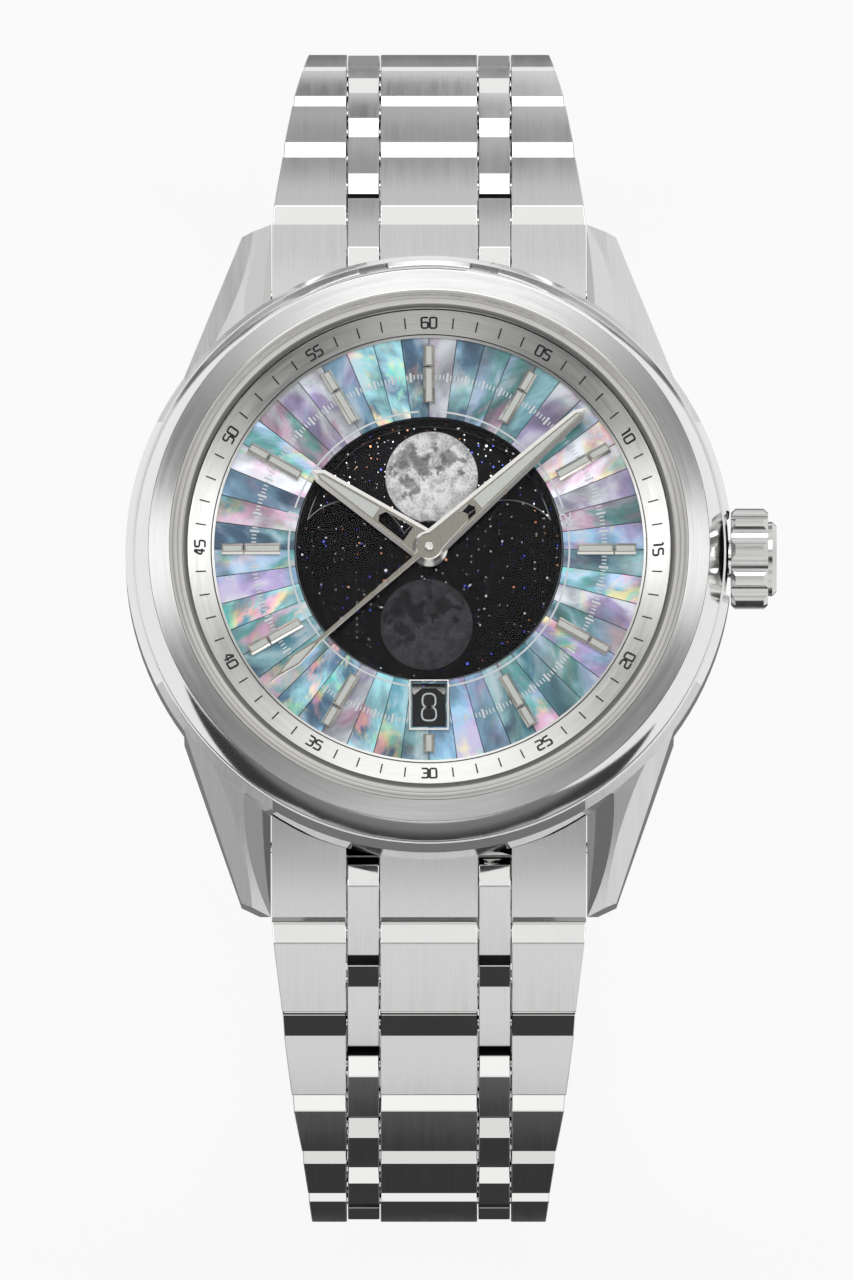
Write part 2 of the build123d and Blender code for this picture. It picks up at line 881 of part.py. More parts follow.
def balance_wheel():
    level = plate_low + balance_level
    face = Circle(balance_radius) - Circle(balance_radius - balance_rim)
    face += Rectangle(2 * balance_radius - balance_rim, balance_rim)
    face += Circle(balance_rim)
    body = Pos(0, 0, level) * extrude(face, balance_thickness)
    body += disc(arbor_radius, bridge_low + jewel_sink, plate_low + plate_pocket + jewel_sink)
    screw = balance_screw_share * balance_rim
    rim_middle = balance_radius - balance_rim / 2
    for i in range(balance_screws):
        turn = Rot(0, 0, (i + 1 / 2) * full_turn / balance_screws)
        body += turn * Pos(rim_middle, 0, level) * disc(screw, -screw, balance_thickness + screw)
    return at(balance_place, body)


def hairspring():
    """A flat spiral, one unbroken strip, fixed to a collet on the staff."""
    level = plate_low + hairspring_level
    edges = []
    for shift in (hairspring_width / 2, -hairspring_width / 2):
        edge = []
        for i in range(hairspring_turns * hairspring_steps + 1):
            a = 2 * pi * i / hairspring_steps
            r = hairspring_inner + hairspring_pitch * i / hairspring_steps + shift
            edge.append((r * cos(a), r * sin(a)))
        edges.append(edge)
    face = make_face(Polyline(*edges[0], *reversed(edges[1]), close=True))
    face += Circle(hairspring_inner) - Circle(arbor_radius)
    return at(balance_place, Pos(0, 0, level) * extrude(face, hairspring_height))


def barrel():
    level = plate_low + barrel_level
    body = disc(barrel_radius, level, level + barrel_height)
    rim_low, rim_top = (level + share * barrel_height for share in barrel_rim_shares)
    body += toothed(barrel_tooth_radius, barrel_teeth, rim_low, rim_top)
    hollow = barrel_radius - barrel_groove
    body -= ring(hollow, barrel_arbor_radius, level - cut_overrun, level + barrel_groove)
    body += disc(barrel_arbor_radius, bridge_low + jewel_sink, plate_low + plate_pocket + jewel_sink)
    return at(barrel_place, body)


def pocket_places():
    """Where the plate is hollowed: place and radius of every pocket."""
    return (
        ((0, 0), centre_wheel_radius + pocket_clearance),
        (third_place, third_wheel_radius + pocket_clearance),
        (escape_place, escape_wheel_radius + pocket_clearance),
        (pallet_place, pallet_arm_reach + pocket_clearance),
        (barrel_place, barrel_tooth_radius + pocket_clearance),
        (balance_place, balance_radius + pocket_clearance),
    )


def bearing_places():
    """Every arbor's place and radius, where plate and bridges hold it."""
    return (
        ((0, 0), seconds_arbor_radius),
        (third_place, arbor_radius),
        (escape_place, escape_arbor_radius),
        (pallet_place, escape_arbor_radius),
        (barrel_place, barrel_arbor_radius),
        (balance_place, arbor_radius),
    )


def main_plate():
    body = disc(plate_radius, plate_low, plate_top)
    for place, radius in pocket_places():
        body -= at(place, disc(radius, plate_low - cut_overrun, plate_low + plate_pocket))
    hole_top = plate_low + plate_pocket + jewel_sink + seat_clearance
    for place, radius in bearing_places():
        body -= at(place, disc(radius + bearing_clearance, plate_low, hole_top))
    body -= disc(centre_arbor_radius + bearing_clearance, plate_low, dial_height)
    stem_bore = stem_radius + running_clearance
    body -= rod_along_x(0, crown_height, stem_bore, stem_end - cut_overrun, plate_radius + cut_overrun)
    return body


def movement_ring():
    """A spacer that centres the movement in the case and carries the dial."""
    top = dial_height - wedge_thickness - dial_plate_thickness
    outer = case_bore_radius - holder_outer_clearance
    body = ring(outer, plate_radius + seat_clearance, top - holder_length, top)
    return body - rod_along_x(0, crown_height, stem_radius + pipe_clearance, 0, case_radius)


def train_bridge():
    """The bridge over the gears, cut away round the balance."""
    body = disc(plate_radius, bridge_low, plate_low)
    opening = disc(balance_radius + pocket_clearance, bridge_low - cut_overrun, plate_low + cut_overrun)
    body -= at(balance_place, opening)
    body -= cock_blank(seat_clearance)
    hole_low = bridge_low + jewel_sink - seat_clearance
    for place, radius in bearing_places()[:-1]:
        body -= at(place, disc(radius + bearing_clearance, hole_low, plate_low + cut_overrun))
    body = max(solids_of(body), key=lambda s: s.volume)
    body += disc(rotor_post_radius, bridge_low - rotor_post_length(), bridge_low)
    cap_low = bridge_low - rotor_post_length() - rotor_cap_thickness
    return body + disc(rotor_cap_radius, cap_low, cap_low + rotor_cap_thickness)


def rotor_post_length():
    return rotor_gap + rotor_rim_thickness + running_clearance


def cock_blank(gap):
    """The cock's outline: an arm from the rim to over the balance staff."""
    turn = degrees(atan2(balance_place[1], balance_place[0]))
    reach = plate_radius - hypot(*balance_place)
    arm = Rectangle(reach + cut_overrun, cock_width + 2 * gap, align=(Align.MIN, Align.CENTER))
    face = Rot(0, 0, turn) * arm + Circle(cock_foot_radius + gap)
    solid = at(balance_place, Pos(0, 0, bridge_low) * extrude(face, bridge_thickness))
    return solid & disc(plate_radius + gap, bridge_low, plate_low)


def balance_cock():
    """Its foot stands on the plate's rim, outside the balance's pocket."""
    hole_low = bridge_low + jewel_sink - seat_clearance
    hole = disc(arbor_radius + bearing_clearance, hole_low, plate_low + cut_overrun)
    return cock_blank(0) - at(balance_place, hole)


def rotor():
    """A half-round weight with a heavy rim, held on the bridge's post."""
    top = bridge_low - rotor_gap
    low = top - rotor_rim_thickness
    face = Circle(rotor_radius) & Rectangle(2 * rotor_radius, rotor_radius, align=(Align.CENTER, Align.MAX))
    face += Circle(rotor_hub_radius)
    body = Pos(0, 0, low) * extrude(face, rotor_plate_thickness)
    rim = Circle(rotor_radius) - Circle(rotor_radius - rotor_rim_width)
    rim &= Rectangle(2 * rotor_radius, rotor_radius, align=(Align.CENTER, Align.MAX))
    body += Pos(0, 0, low) * extrude(rim, rotor_rim_thickness)
    body += disc(rotor_hub_radius, low, top)
    return body - disc(rotor_post_radius + running_clearance, low - cut_overrun, top + cut_overrun)


def crown():
    """A fluted grip with a stepped cap, hollow where the tube enters."""
    grip = Circle(crown_radius)
    for i in range(crown_flutes):
        a = 2 * pi * (i + 1 / 2) / crown_flutes
        far = crown_radius + crown_flute_radius - crown_flute_depth
        grip -= Pos(far * cos(a), far * sin(a)) * Circle(crown_flute_radius)
    body = extrude(grip, crown_length)
    body &= turned(
        (0, 0),
        (crown_radius - crown_edge, 0),
        (crown_radius, crown_edge),
        (crown_radius, crown_length - crown_edge),
        (crown_radius - crown_edge, crown_length),
        (0, crown_length),
    )
    top = crown_length + crown_cap_length
    body += turned(
        (0, crown_length),
        (crown_cap_radius, crown_length),
        (crown_cap_radius, top - crown_edge),
        (crown_cap_radius - crown_edge, top),
        (0, top),
    )
    body -= disc(crown_cavity_radius, -cut_overrun, crown_cavity_depth)
    body -= disc(stem_radius + running_clearance, 0, crown_length)
    return Pos(crown_start, 0, crown_height) * Rot(0, quarter_turn, 0) * body


def crown_stem():
    tip = crown_start + crown_length - running_clearance
    return rod_along_x(0, crown_height, stem_radius, stem_end, tip)


def crown_tube():
    outer = rod_along_x(0, crown_height, tube_radius, tube_start, tube_reach)
    bore = rod_along_x(0, crown_height, stem_radius + running_clearance, 0, tube_reach + cut_overrun)
    groove = Pos(tube_reach - tube_seal_inset, 0, crown_height) * Rot(0, quarter_turn, 0) * Torus(
        stem_radius + tube_seal_wire, tube_seal_wire + press_clearance
    )
    return outer - bore - groove


def piece_profile(start, bevel):
    """Side view of one bracelet piece, start to start + its length along x."""
    end = start + piece_share * link_pitch
    top = link_thickness / 2
    return make_face(
        Polyline(
            (start, bevel_drop - top - bevel_heel),
            (start, top - bevel_drop),
            (start + bevel, top),
            (end - end_bevel, top),
            (end, top - end_bevel),
            (end, end_bevel - top),
            (end - end_bevel, -top),
            (start + under_bevel, -top),
            close=True,
        )
    )


def pin_hole(x, radius):
    half = lug_width
    return Pos(x, 0, -half) * extrude(Circle(radius), 2 * half)


def link_place(side, pin, angle):
    """The frame of a link: x along the bracelet, y outward, z across it."""
    y, z = pin
    s, c = sin(radians(angle)), cos(radians(angle))
    return Plane(origin=(0, side * y, z), x_dir=(0, side * c, -s), z_dir=(side, 0, 0))


def pins_of(angles):
    """The hinge pins' places in (y, z), from the end link to the clasp."""
    y, z = first_pin
    places = [(y, z)]
    for angle in angles:
        y += link_pitch * cos(radians(angle))
        z -= link_pitch * sin(radians(angle))
        places.append((y, z))
    return places


def outer_piece(face, start, half_widths):
    """An outer column piece whose free side tapers from one end to the other."""
    end = start + piece_share * link_pitch
    low = side_half_width + column_gap
    plan = make_face(
        Polyline((start, low), (end, low), (end, half_widths[1]), (start, half_widths[0]), close=True)
    )
    slab = Pos(0, link_thickness, 0) * extrude(Plane.XZ * plan, 2 * link_thickness)
    return extrude(face, half_widths[0]) & slab


def link(side, pin, angle, index):
    """Two intermediate pieces and a row of three, held by two pins."""
    inner_start = -barrel_share * link_pitch
    row_start = facing_share * link_pitch
    half_widths = [share * lug_inner_x for share in width_shares[index : index + 2]]
    row_face = piece_profile(row_start, bevel_run)
    centre = extrude(row_face, centre_half_width - column_gap, both=True)
    outer = outer_piece(row_face, row_start, half_widths)
    low, high = centre_half_width + column_gap, side_half_width - column_gap
    inner = Pos(0, 0, low) * extrude(piece_profile(inner_start, bevel_run), high - low)
    row = [centre] + mirrored_pair(outer, Plane.XY)
    between = mirrored_pair(inner, Plane.XY)
    fixed = pin_hole(fixed_pin_share * link_pitch, hinge_pin_radius + press_clearance)
    far_fixed = pin_hole(link_pitch, hinge_pin_radius + press_clearance)
    near_running = pin_hole(0, hinge_pin_radius + running_clearance)
    pieces = [p - fixed - far_fixed for p in row] + [p - fixed - near_running for p in between]
    reach = half_widths[1] - pin_sink
    for x in (fixed_pin_share * link_pitch, link_pitch):
        pieces.append(Pos(x, 0, -reach) * extrude(Circle(hinge_pin_radius), 2 * reach))
    return [link_place(side, pin, angle) * p for p in pieces]


def end_link(side):
    """A block shaped to the case, slotted for the first link's two tongues."""
    half = lug_inner_x - end_link_side_gap
    foot = (*end_link_nose, (lug_foot_start[0], end_link_foot))
    body = extrude(Plane.YZ * top_surface_profile(foot), half, both=True)
    body -= case_blank(case_gap)
    body -= disc(back_radius + case_gap, -cut_overrun, case_foot_height + cut_overrun)
    slot_start = first_pin[0] - end_link_slot_reach
    low, high = centre_half_width - column_gap, side_half_width + column_gap
    slot = Box(high - low, case_radius, 2 * dial_height, align=(Align.MIN, Align.MIN, Align.CENTER))
    for cut in mirrored_pair(Pos(low, slot_start, 0) * slot, Plane.YZ):
        body -= cut
    bar = rod_along_x(*spring_bar_place, spring_bar_radius + running_clearance, -lug_width, lug_width)
    pin_cut = rod_along_x(*first_pin, hinge_pin_radius + press_clearance, -lug_width, lug_width)
    body -= bar
    body -= pin_cut
    # Material over the case's curve is trimmed off above the lug line
    body = max(solids_of(body), key=lambda s: s.volume)
    reach = half - pin_sink
    pin = rod_along_x(*first_pin, hinge_pin_radius, -reach, reach)
    pieces = [body, pin]
    return pieces if side > 0 else [mirror(p, about=Plane.XZ) for p in pieces]


def lug_spring_bars():
    half = lug_inner_x - end_link_side_gap
    y, z = spring_bar_place
    tip = half + spring_bar_tip_length - spring_bar_tip_gap
    bar = rod_along_x(y, z, spring_bar_radius, -half, half)
    bar += rod_along_x(y, z, spring_bar_tip_radius, -tip, tip)
    return mirrored_pair(bar, Plane.XZ)


pins_12 = pins_of(slope_angles_12)
pins_6 = pins_of(slope_angles_6)
clasp_end_12 = pins_12[-1]
clasp_end_6 = (-pins_6[-1][0], pins_6[-1][1])
clasp_half = hypot(clasp_end_12[0] - clasp_end_6[0], clasp_end_12[1] - clasp_end_6[1]) / 2
clasp_tilt = degrees(atan2(clasp_end_12[1] - clasp_end_6[1], clasp_end_12[0] - clasp_end_6[0]))


def clasp_place(solid):
    """From the clasp's own frame, its middle at the origin, to the watch's."""
    y = (clasp_end_12[0] + clasp_end_6[0]) / 2
    z = (clasp_end_12[1] + clasp_end_6[1]) / 2
    return Pos(0, y, z) * Rot(clasp_tilt, 0, 0) * solid


cover_low = -cover_plate_drop - cover_plate_thickness
cover_end = clasp_half - cover_end_gap
fold_pin_y = clasp_half - fold_pin_inset
cover_pin_y = cover_pin_inset - clasp_half
fold_pin_z = (long_blade_level + short_blade_level) / 2 + blade_thickness / 2
cover_pin_z = long_blade_level + blade_thickness / 2 - cover_pin_drop


def block(x, y, z):
    """A box given by its low and high ends along each axis."""
    size = (x[1] - x[0], y[1] - y[0], z[1] - z[0])
    return Pos(x[0], y[0], z[0]) * Box(*size, align=(Align.MIN, Align.MIN, Align.MIN))


def tongue(low_y, high_y, low_z, high_z):
    x = (centre_half_width + column_gap, side_half_width - column_gap)
    return mirrored_pair(block(x, (low_y, high_y), (low_z, high_z)), Plane.YZ)


def tongue_end(y):
    """Rounded ends of two tongues about the pin at y."""
    low, high = centre_half_width + column_gap, side_half_width - column_gap
    rounded = rod_along_x(y, 0, link_thickness / 2, low, high)
    return mirrored_pair(rounded, Plane.YZ)


def clasp_cover():
    """A channel with side walls, hung on the 12 o'clock half's last pin."""
    y = (-cover_end, cover_end)
    body = block((-cover_half, cover_half), y, (cover_low, -cover_plate_drop))
    wall = block((cover_half - cover_wall, cover_half), y, (cover_low, cover_wall_top))
    for one in mirrored_pair(wall, Plane.YZ):
        body += one
    back_y = fold_pin_y + knuckle_radius + blade_end_gap
    for one in tongue(back_y, clasp_half, -cover_plate_drop, link_thickness / 2):
        body += one
    for one in tongue_end(clasp_half):
        body += one
    body -= rod_along_x(clasp_half, 0, hinge_pin_radius + running_clearance, -lug_width, lug_width)
    pin_bore = clasp_pin_radius + press_clearance
    body -= rod_along_x(cover_pin_y, cover_pin_z, pin_bore, -cover_half, cover_half)
    wide, tall = button_width / 2 + running_clearance, button_height / 2 + running_clearance
    through = (cover_half - cover_wall - cut_overrun, cover_half + cut_overrun)
    window = Pos(0, button_y_inset - clasp_half, button_level) * block(through, (-wide, wide), (-tall, tall))
    for one in mirrored_pair(window, Plane.YZ):
        body -= one
    pin_half = cover_half - pin_sink
    pin = rod_along_x(cover_pin_y, cover_pin_z, clasp_pin_radius, -pin_half, pin_half)
    return [clasp_place(body), clasp_place(pin)]


def clasp_long_blade():
    """The middle leaf: hinged on the cover's pin at one end, and at the fold."""
    half = long_blade_half
    z = (long_blade_level, long_blade_level + blade_thickness)
    body = block((-half, half), (cover_pin_y, fold_pin_y - knuckle_radius - knuckle_gap), z)
    side = (knuckle_half_width + knuckle_gap, half)
    for one in mirrored_pair(block(side, (0, fold_pin_y), z), Plane.YZ):
        body += one
    for one in mirrored_pair(rod_along_x(fold_pin_y, fold_pin_z, knuckle_radius, *side), Plane.YZ):
        body += one
    body -= rod_along_x(fold_pin_y, fold_pin_z, clasp_pin_radius + running_clearance, -half, half)
    body += rod_along_x(cover_pin_y, cover_pin_z, cover_knuckle_radius, -half, half)
    body -= rod_along_x(cover_pin_y, cover_pin_z, clasp_pin_radius + running_clearance, -half, half)
    return clasp_place(body)


def clasp_short_blade():
    """The inner leaf: its two tongues reach the 6 o'clock half's last pin."""
    half = short_blade_half
    z = (short_blade_level, short_blade_level + blade_thickness)
    near = blade_front_gap - clasp_half
    body = block((-half, half), (near, fold_pin_y - knuckle_radius - knuckle_gap), z)
    body += block((-knuckle_half_width, knuckle_half_width), (0, fold_pin_y), z)
    body += rod_along_x(fold_pin_y, fold_pin_z, knuckle_radius, -knuckle_half_width, knuckle_half_width)
    # The tongues stop short of that pin, on an arc about the cover's pin
    reach = hypot(cover_pin_inset, cover_pin_z) - hinge_pin_radius - open_pivot_gap
    round_end = rod_along_x(cover_pin_y, cover_pin_z, reach, -lug_width, lug_width)
    for one in tongue(-clasp_half, near + cut_overrun, short_blade_level, link_thickness / 2):
        body += one & round_end
    body -= rod_along_x(fold_pin_y, fold_pin_z, clasp_pin_radius + press_clearance, -half, half)
    pin = rod_along_x(fold_pin_y, fold_pin_z, clasp_pin_radius, -long_blade_half, long_blade_half)
    return [clasp_place(body), clasp_place(pin)]


def clasp_button():
    """A button through the cover's wall with a plate inside that stops it."""
    inside = cover_half - cover_wall - seat_clearance
    wide, tall = button_width / 2, button_height / 2
    head = block((inside - button_flange, cover_half + button_proud), (-wide, wide), (-tall, tall))
    plate_wide, plate_tall = wide + button_flange_margin, tall + button_flange_margin
    plate_x = (inside - button_flange, inside)
    head += block(plate_x, (-plate_wide, plate_wide), (-plate_tall, plate_tall))
    return Pos(0, button_y_inset - clasp_half, button_level) * head


def clasp_buttons():
    return [clasp_place(s) for s in mirrored_pair(clasp_button(), Plane.YZ)]


def solids_of(shape):
    """Every solid of a shape, or of a list of shapes."""
    if isinstance(shape, (list, tuple)):
        return [s for one in shape for s in solids_of(one)]
    return list(shape.solids())


def save(node, shape):
    solids = solids_of(shape)
    part = solids[0] if len(solids) == 1 else Compound(children=solids)
    part.label = node
    export_step(part, f"parts/{node}.step")


os.makedirs("parts", exist_ok=True)
for piece in (
    case_middle,
    bezel,
    crystal,
    crystal_gasket,
    case_back,
    case_seals,
    dial_plate,
    pearl_wedges,
    minute_ring,
    hour_markers,
    date_frame,
    moon_cover,
    moon_disc,
    date_ring,
    hour_hand,
    minute_hand,
    second_hand,
    hour_wheel,
    cannon_pinion,
    centre_wheel,
    third_wheel,
    fourth_wheel,
    escape_wheel,
    pallet_fork,
    balance_wheel,
    hairspring,
    barrel,
    main_plate,
    movement_ring,
    train_bridge,
    balance_cock,
    rotor,
    crown,
    crown_stem,
    crown_tube,
    lug_spring_bars,
    clasp_cover,
    clasp_long_blade,
    clasp_short_blade,
):
    save(piece.__name__, piece())

save("back_crystal", disc(back_crystal_radius, 0, back_crystal_thickness))
halves = (("12", 1, pins_12, slope_angles_12), ("6", -1, pins_6, slope_angles_6))
for name, side, pins, angles in halves:
    save(f"end_link_{name}", end_link(side))
    for i, angle in enumerate(angles):
        save(f"link_{name}_{i + 1}", link(side, pins[i], angle, i))
for side_name, button in zip(("right", "left"), clasp_buttons()):
    save(f"clasp_button_{side_name}", button)
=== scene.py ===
from math import atan2, cos, hypot, pi, radians, sin, sqrt

import bmesh
import bpy
from mathutils import Matrix, Vector


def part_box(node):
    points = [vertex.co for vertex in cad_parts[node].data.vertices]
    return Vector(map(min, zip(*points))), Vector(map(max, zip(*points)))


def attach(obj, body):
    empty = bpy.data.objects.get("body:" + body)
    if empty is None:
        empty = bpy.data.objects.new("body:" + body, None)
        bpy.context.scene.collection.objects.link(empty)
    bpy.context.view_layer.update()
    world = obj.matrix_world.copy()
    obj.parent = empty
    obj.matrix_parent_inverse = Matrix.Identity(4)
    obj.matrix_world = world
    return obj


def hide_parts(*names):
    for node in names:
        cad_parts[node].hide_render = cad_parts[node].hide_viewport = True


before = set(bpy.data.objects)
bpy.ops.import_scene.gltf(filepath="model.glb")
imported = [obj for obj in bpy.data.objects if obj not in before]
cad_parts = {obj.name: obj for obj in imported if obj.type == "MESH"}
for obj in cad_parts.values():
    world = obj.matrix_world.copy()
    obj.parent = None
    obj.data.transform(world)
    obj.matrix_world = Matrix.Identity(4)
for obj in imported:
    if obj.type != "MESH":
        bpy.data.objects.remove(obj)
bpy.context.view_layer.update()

# Case middle with its four lugs.
# Turned and milled from one piece of stainless steel. The round wall and the
# narrow facets are polished, the lugs' tops are brushed along the bracelet.
MM = 0.001
steel_tone = (0.80, 0.80, 0.795)
bezel_seat, lug_inner_side = 9.5 * MM, 10.9 * MM
# The radius at which lines brushed round the axis have their stated length.
grain_radius = 18.0


class Value:
    """A node's output. Arithmetic and comparisons with it add Math nodes to its tree."""

    def __init__(self, socket):
        self.socket, self.tree = socket, socket.id_data

    def __add__(self, other):
        return calc("ADD", self, other)

    def __sub__(self, other):
        return calc("SUBTRACT", self, other)

    def __rsub__(self, other):
        return calc("SUBTRACT", other, self)

    def __mul__(self, other):
        return calc("MULTIPLY", self, other)

    def __truediv__(self, other):
        return calc("DIVIDE", self, other)

    def __rtruediv__(self, other):
        return calc("DIVIDE", other, self)

    def __gt__(self, other):
        return calc("GREATER_THAN", self, other)

    def __lt__(self, other):
        return calc("LESS_THAN", self, other)

    def __abs__(self):
        return calc("ABSOLUTE", self)


class Outputs:
    """A node's outputs, taken by number or name."""

    def __init__(self, node):
        self.node = node

    def __getitem__(self, key):
        return Value(self.node.outputs[key])


def feed(socket, value):
    """Links a value to an input, or sets the input to it."""
    if isinstance(value, Value):
        value.tree.links.new(value.socket, socket)
    else:
        socket.default_value = (*value, 1)[:4] if socket.type == "RGBA" else value


def add(tree, kind, inputs=None, **settings):
    """One node with its settings, and its inputs fed."""
    node = tree.nodes.new(kind)
    for name, value in settings.items():
        setattr(node, name, value)
    for key, value in (inputs or {}).items():
        feed(node.inputs[key], value)
    return Outputs(node)


def tree_of(values):
    return next(value.tree for value in values if isinstance(value, Value))


def calc(operation, *values):
    """The result of one Math node."""
    return add(tree_of(values), "ShaderNodeMath", dict(enumerate(values)), operation=operation)[0]


def vector(operation, *values):
    """The result of one Vector Math node, a number where the operation gives one."""
    inputs = dict(zip((0, 3) if operation == "SCALE" else (0, 1), values))
    result = "Value" if operation in ("LENGTH", "DISTANCE", "DOT_PRODUCT") else "Vector"
    return add(tree_of(values), "ShaderNodeVectorMath", inputs, operation=operation)[result]


def span(value, low, high, start=0.0, end=1.0):
    """The value carried smoothly from low-high to start-end."""
    numbers = {"Value": value, "From Min": low, "From Max": high, "To Min": start, "To Max": end}
    return add(value.tree, "ShaderNodeMapRange", numbers, interpolation_type="SMOOTHSTEP")[0]


def mix(share, first, second, kind="RGBA"):
    """The first where the share is 0, the second where it is 1."""
    inputs = {"Factor": share, "A": first, "B": second}
    return add(share.tree, "ShaderNodeMix", inputs, data_type=kind)["Result"]


def noise(place, scale, detail, output=0, **more):
    """One noise texture, of four dimensions if W is given."""
    inputs = {"Vector": place, "Scale": scale, "Detail": detail, **more}
    kind = "4D" if "W" in more else "3D"
    return add(place.tree, "ShaderNodeTexNoise", inputs, noise_dimensions=kind)[output]


def parts(value):
    return list(add(value.tree, "ShaderNodeSeparateXYZ", {0: value}))


def joined(*values):
    return add(tree_of(values), "ShaderNodeCombineXYZ", dict(enumerate(values)))[0]


def place_in(tree):
    return add(tree, "ShaderNodeTexCoord")["Object"]


def flattened(place):
    return vector("MULTIPLY", place, (1, 1, 0))


def relief(height, strength, depth):
    """The normals of a relief whose depth is in mm."""
    inputs = {"Height": height, "Strength": strength, "Distance": depth * MM}
    return add(height.tree, "ShaderNodeBump", inputs)[0]


def new_group(family, name, inputs, outputs):
    """A node group: its tree, inputs and outputs. A socket is given by its kind or its first value."""
    tree = bpy.data.node_groups.new(name, family + "NodeTree")
    kinds = {float: "Float", int: "Int", tuple: "Vector"}
    for way, sockets in (("INPUT", inputs), ("OUTPUT", outputs)):
        for socket, value in sockets.items():
            kind = kinds.get(type(value), value)
            made = tree.interface.new_socket(name=socket, in_out=way, socket_type="NodeSocket" + kind)
            if kind != value:
                made.default_value = value
    return tree, Outputs(tree.nodes.new("NodeGroupInput")), tree.nodes.new("NodeGroupOutput").inputs


def grain_group(name, straight):
    """Fine lines that only change across the brushing, along the bracelet or round the axis."""
    tree, given, out = new_group(
        "Shader", name, {"Lines per mm": 14.0, "Line length mm": 5.0}, {"Tone": "Float", "Height": "Float"}
    )
    place = place_in(tree)
    across = given["Lines per mm"] * (1 / MM)
    if straight:
        x, y, z = parts(place)
        along = 1 / MM / given["Line length mm"]
        grain = joined(x * across, y * along, z * along)
    else:
        flat = flattened(place)
        x, y, z = parts(vector("NORMALIZE", flat))
        along = grain_radius / given["Line length mm"]
        grain = joined(vector("LENGTH", flat) * across, x * along, y * along)
    fine = noise(grain, 1.0, 3.0, Roughness=0.7)
    wide = noise(vector("MULTIPLY", grain, (0.12, 0.4, 0.4)), 1.0, 2.0)
    feed(out["Tone"], span(fine * 0.65 + wide * 0.35, 0.3, 0.7))
    feed(out["Height"], fine)
    return tree


brushed_straight = grain_group("brushed_straight", True)
brushed_round = grain_group("brushed_round", False)


def new_material(name, **values):
    """A material, its tree, and a function that feeds its Principled shader's inputs by name."""
    made = bpy.data.materials.new(name)
    made.use_nodes = True
    inputs = made.node_tree.nodes["Principled BSDF"].inputs

    def look(**values):
        for socket, value in values.items():
            feed(inputs[socket.replace("_", " ").title().replace("Ior", "IOR")], value)

    look(**values)
    return made, made.node_tree, look


def across_grain(tree, straight):
    """The direction across the brushing, in which a brushed surface spreads its highlights."""
    along = (0, 1, 0) if straight else vector("CROSS_PRODUCT", (0, 0, 1), place_in(tree))
    normal = add(tree, "ShaderNodeNewGeometry")["Normal"]
    return vector("NORMALIZE", vector("CROSS_PRODUCT", normal, along))


def brushed(
    name, grain, mask=None, tone=steel_tone, roughness=0.34, streak=0.16, bump=0.25, lines=14.0, stretch=0.9
):
    """Steel that is brushed by a grain group, and polished where the mask is 0."""
    made, tree, look = new_material(name, metallic=1.0)
    if stretch:
        look(anisotropic=stretch, tangent=across_grain(tree, grain == brushed_straight))
    marks = add(tree, "ShaderNodeGroup", {"Lines per mm": lines}, node_tree=grain)
    colour = mix(marks["Tone"], [c * (1 - streak) for c in tone], tone)
    rough = span(marks["Tone"], 0.0, 1.0, roughness - 0.05, roughness + 0.06)
    if mask:
        share = mask(tree)
        rough = mix(share, 0.07, rough, "FLOAT")
        colour = mix(share, tone, colour)
        bump = share * bump
    look(base_color=colour, roughness=rough, normal=relief(marks["Height"], bump, 0.02))
    return made


def lug_tops(tree):
    """1 on the lugs' curved tops and on the wide slopes outside them."""
    coords = add(tree, "ShaderNodeTexCoord")
    nx, ny, nz = parts(coords["Normal"])
    px, py, pz = parts(coords["Object"])
    slope = (nx * calc("SIGN", px) > 0.35) * (abs(ny) > 0.4)
    upright = calc("MAXIMUM", abs(nx) < 0.2, slope)
    return upright * (nz > 0.25) * ((pz < bezel_seat) * (abs(px) > lug_inner_side))


def dress(material, *nodes):
    """A CAD node keeps its shape and gets this material."""
    for node in nodes:
        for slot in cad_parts[node].material_slots:
            slot.material = material


dress(brushed("case_steel", brushed_straight, lug_tops), "case_middle")

# Bezel.
# A turned steel ring pressed on the case: the flat top is brushed round the
# axis, and the sloping outer flank and the rims are polished.
bezel_profile = (
    (18.0, 8.8),
    (18.0, 9.6),
    (20.6, 9.6),
    (20.6, 10.05),
    (19.6, 11.95),
    (18.1, 12.23),
    (18.1, 11.6),
    (16.9, 11.6),
    (16.9, 8.8),
)
bezel_edge = 0.07
flat_inner, flat_outer, flat_lowest = 18.13 * MM, 19.57 * MM, 11.9 * MM


def new_object(name, data):
    made = bpy.data.objects.new(name, data)
    bpy.context.scene.collection.objects.link(made)
    return made


def soften(made, smooth_angle=30):
    made.data.shade_smooth()
    made.data.set_sharp_from_angle(angle=radians(smooth_angle))


def mesh_object(name, shape, smooth_angle=30):
    """A bmesh as an object, smooth but for its sharp edges; with no angle it stays as it is."""
    if smooth_angle:
        bmesh.ops.recalc_face_normals(shape, faces=shape.faces)
    data = bpy.data.meshes.new(name)
    shape.to_mesh(data)
    shape.free()
    made = new_object(name, data)
    if smooth_angle:
        soften(made, smooth_angle)
    return made


def corners(shape, points):
    """New corners at points in mm."""
    return [shape.verts.new([c * MM for c in point]) for point in points]


def skin(shape, rings, closed=True):
    """Faces from each ring of corners to the next, and from the last to the first if closed."""
    faces = []
    for one, other in zip(rings, rings[1:] + rings[:closed]):
        for i in range(len(one)):
            j = (i + 1) % len(one)
            face = list(dict.fromkeys((one[i], one[j], other[j], other[i])))
            if len(face) > 2:
                faces.append(shape.faces.new(face))
    return faces


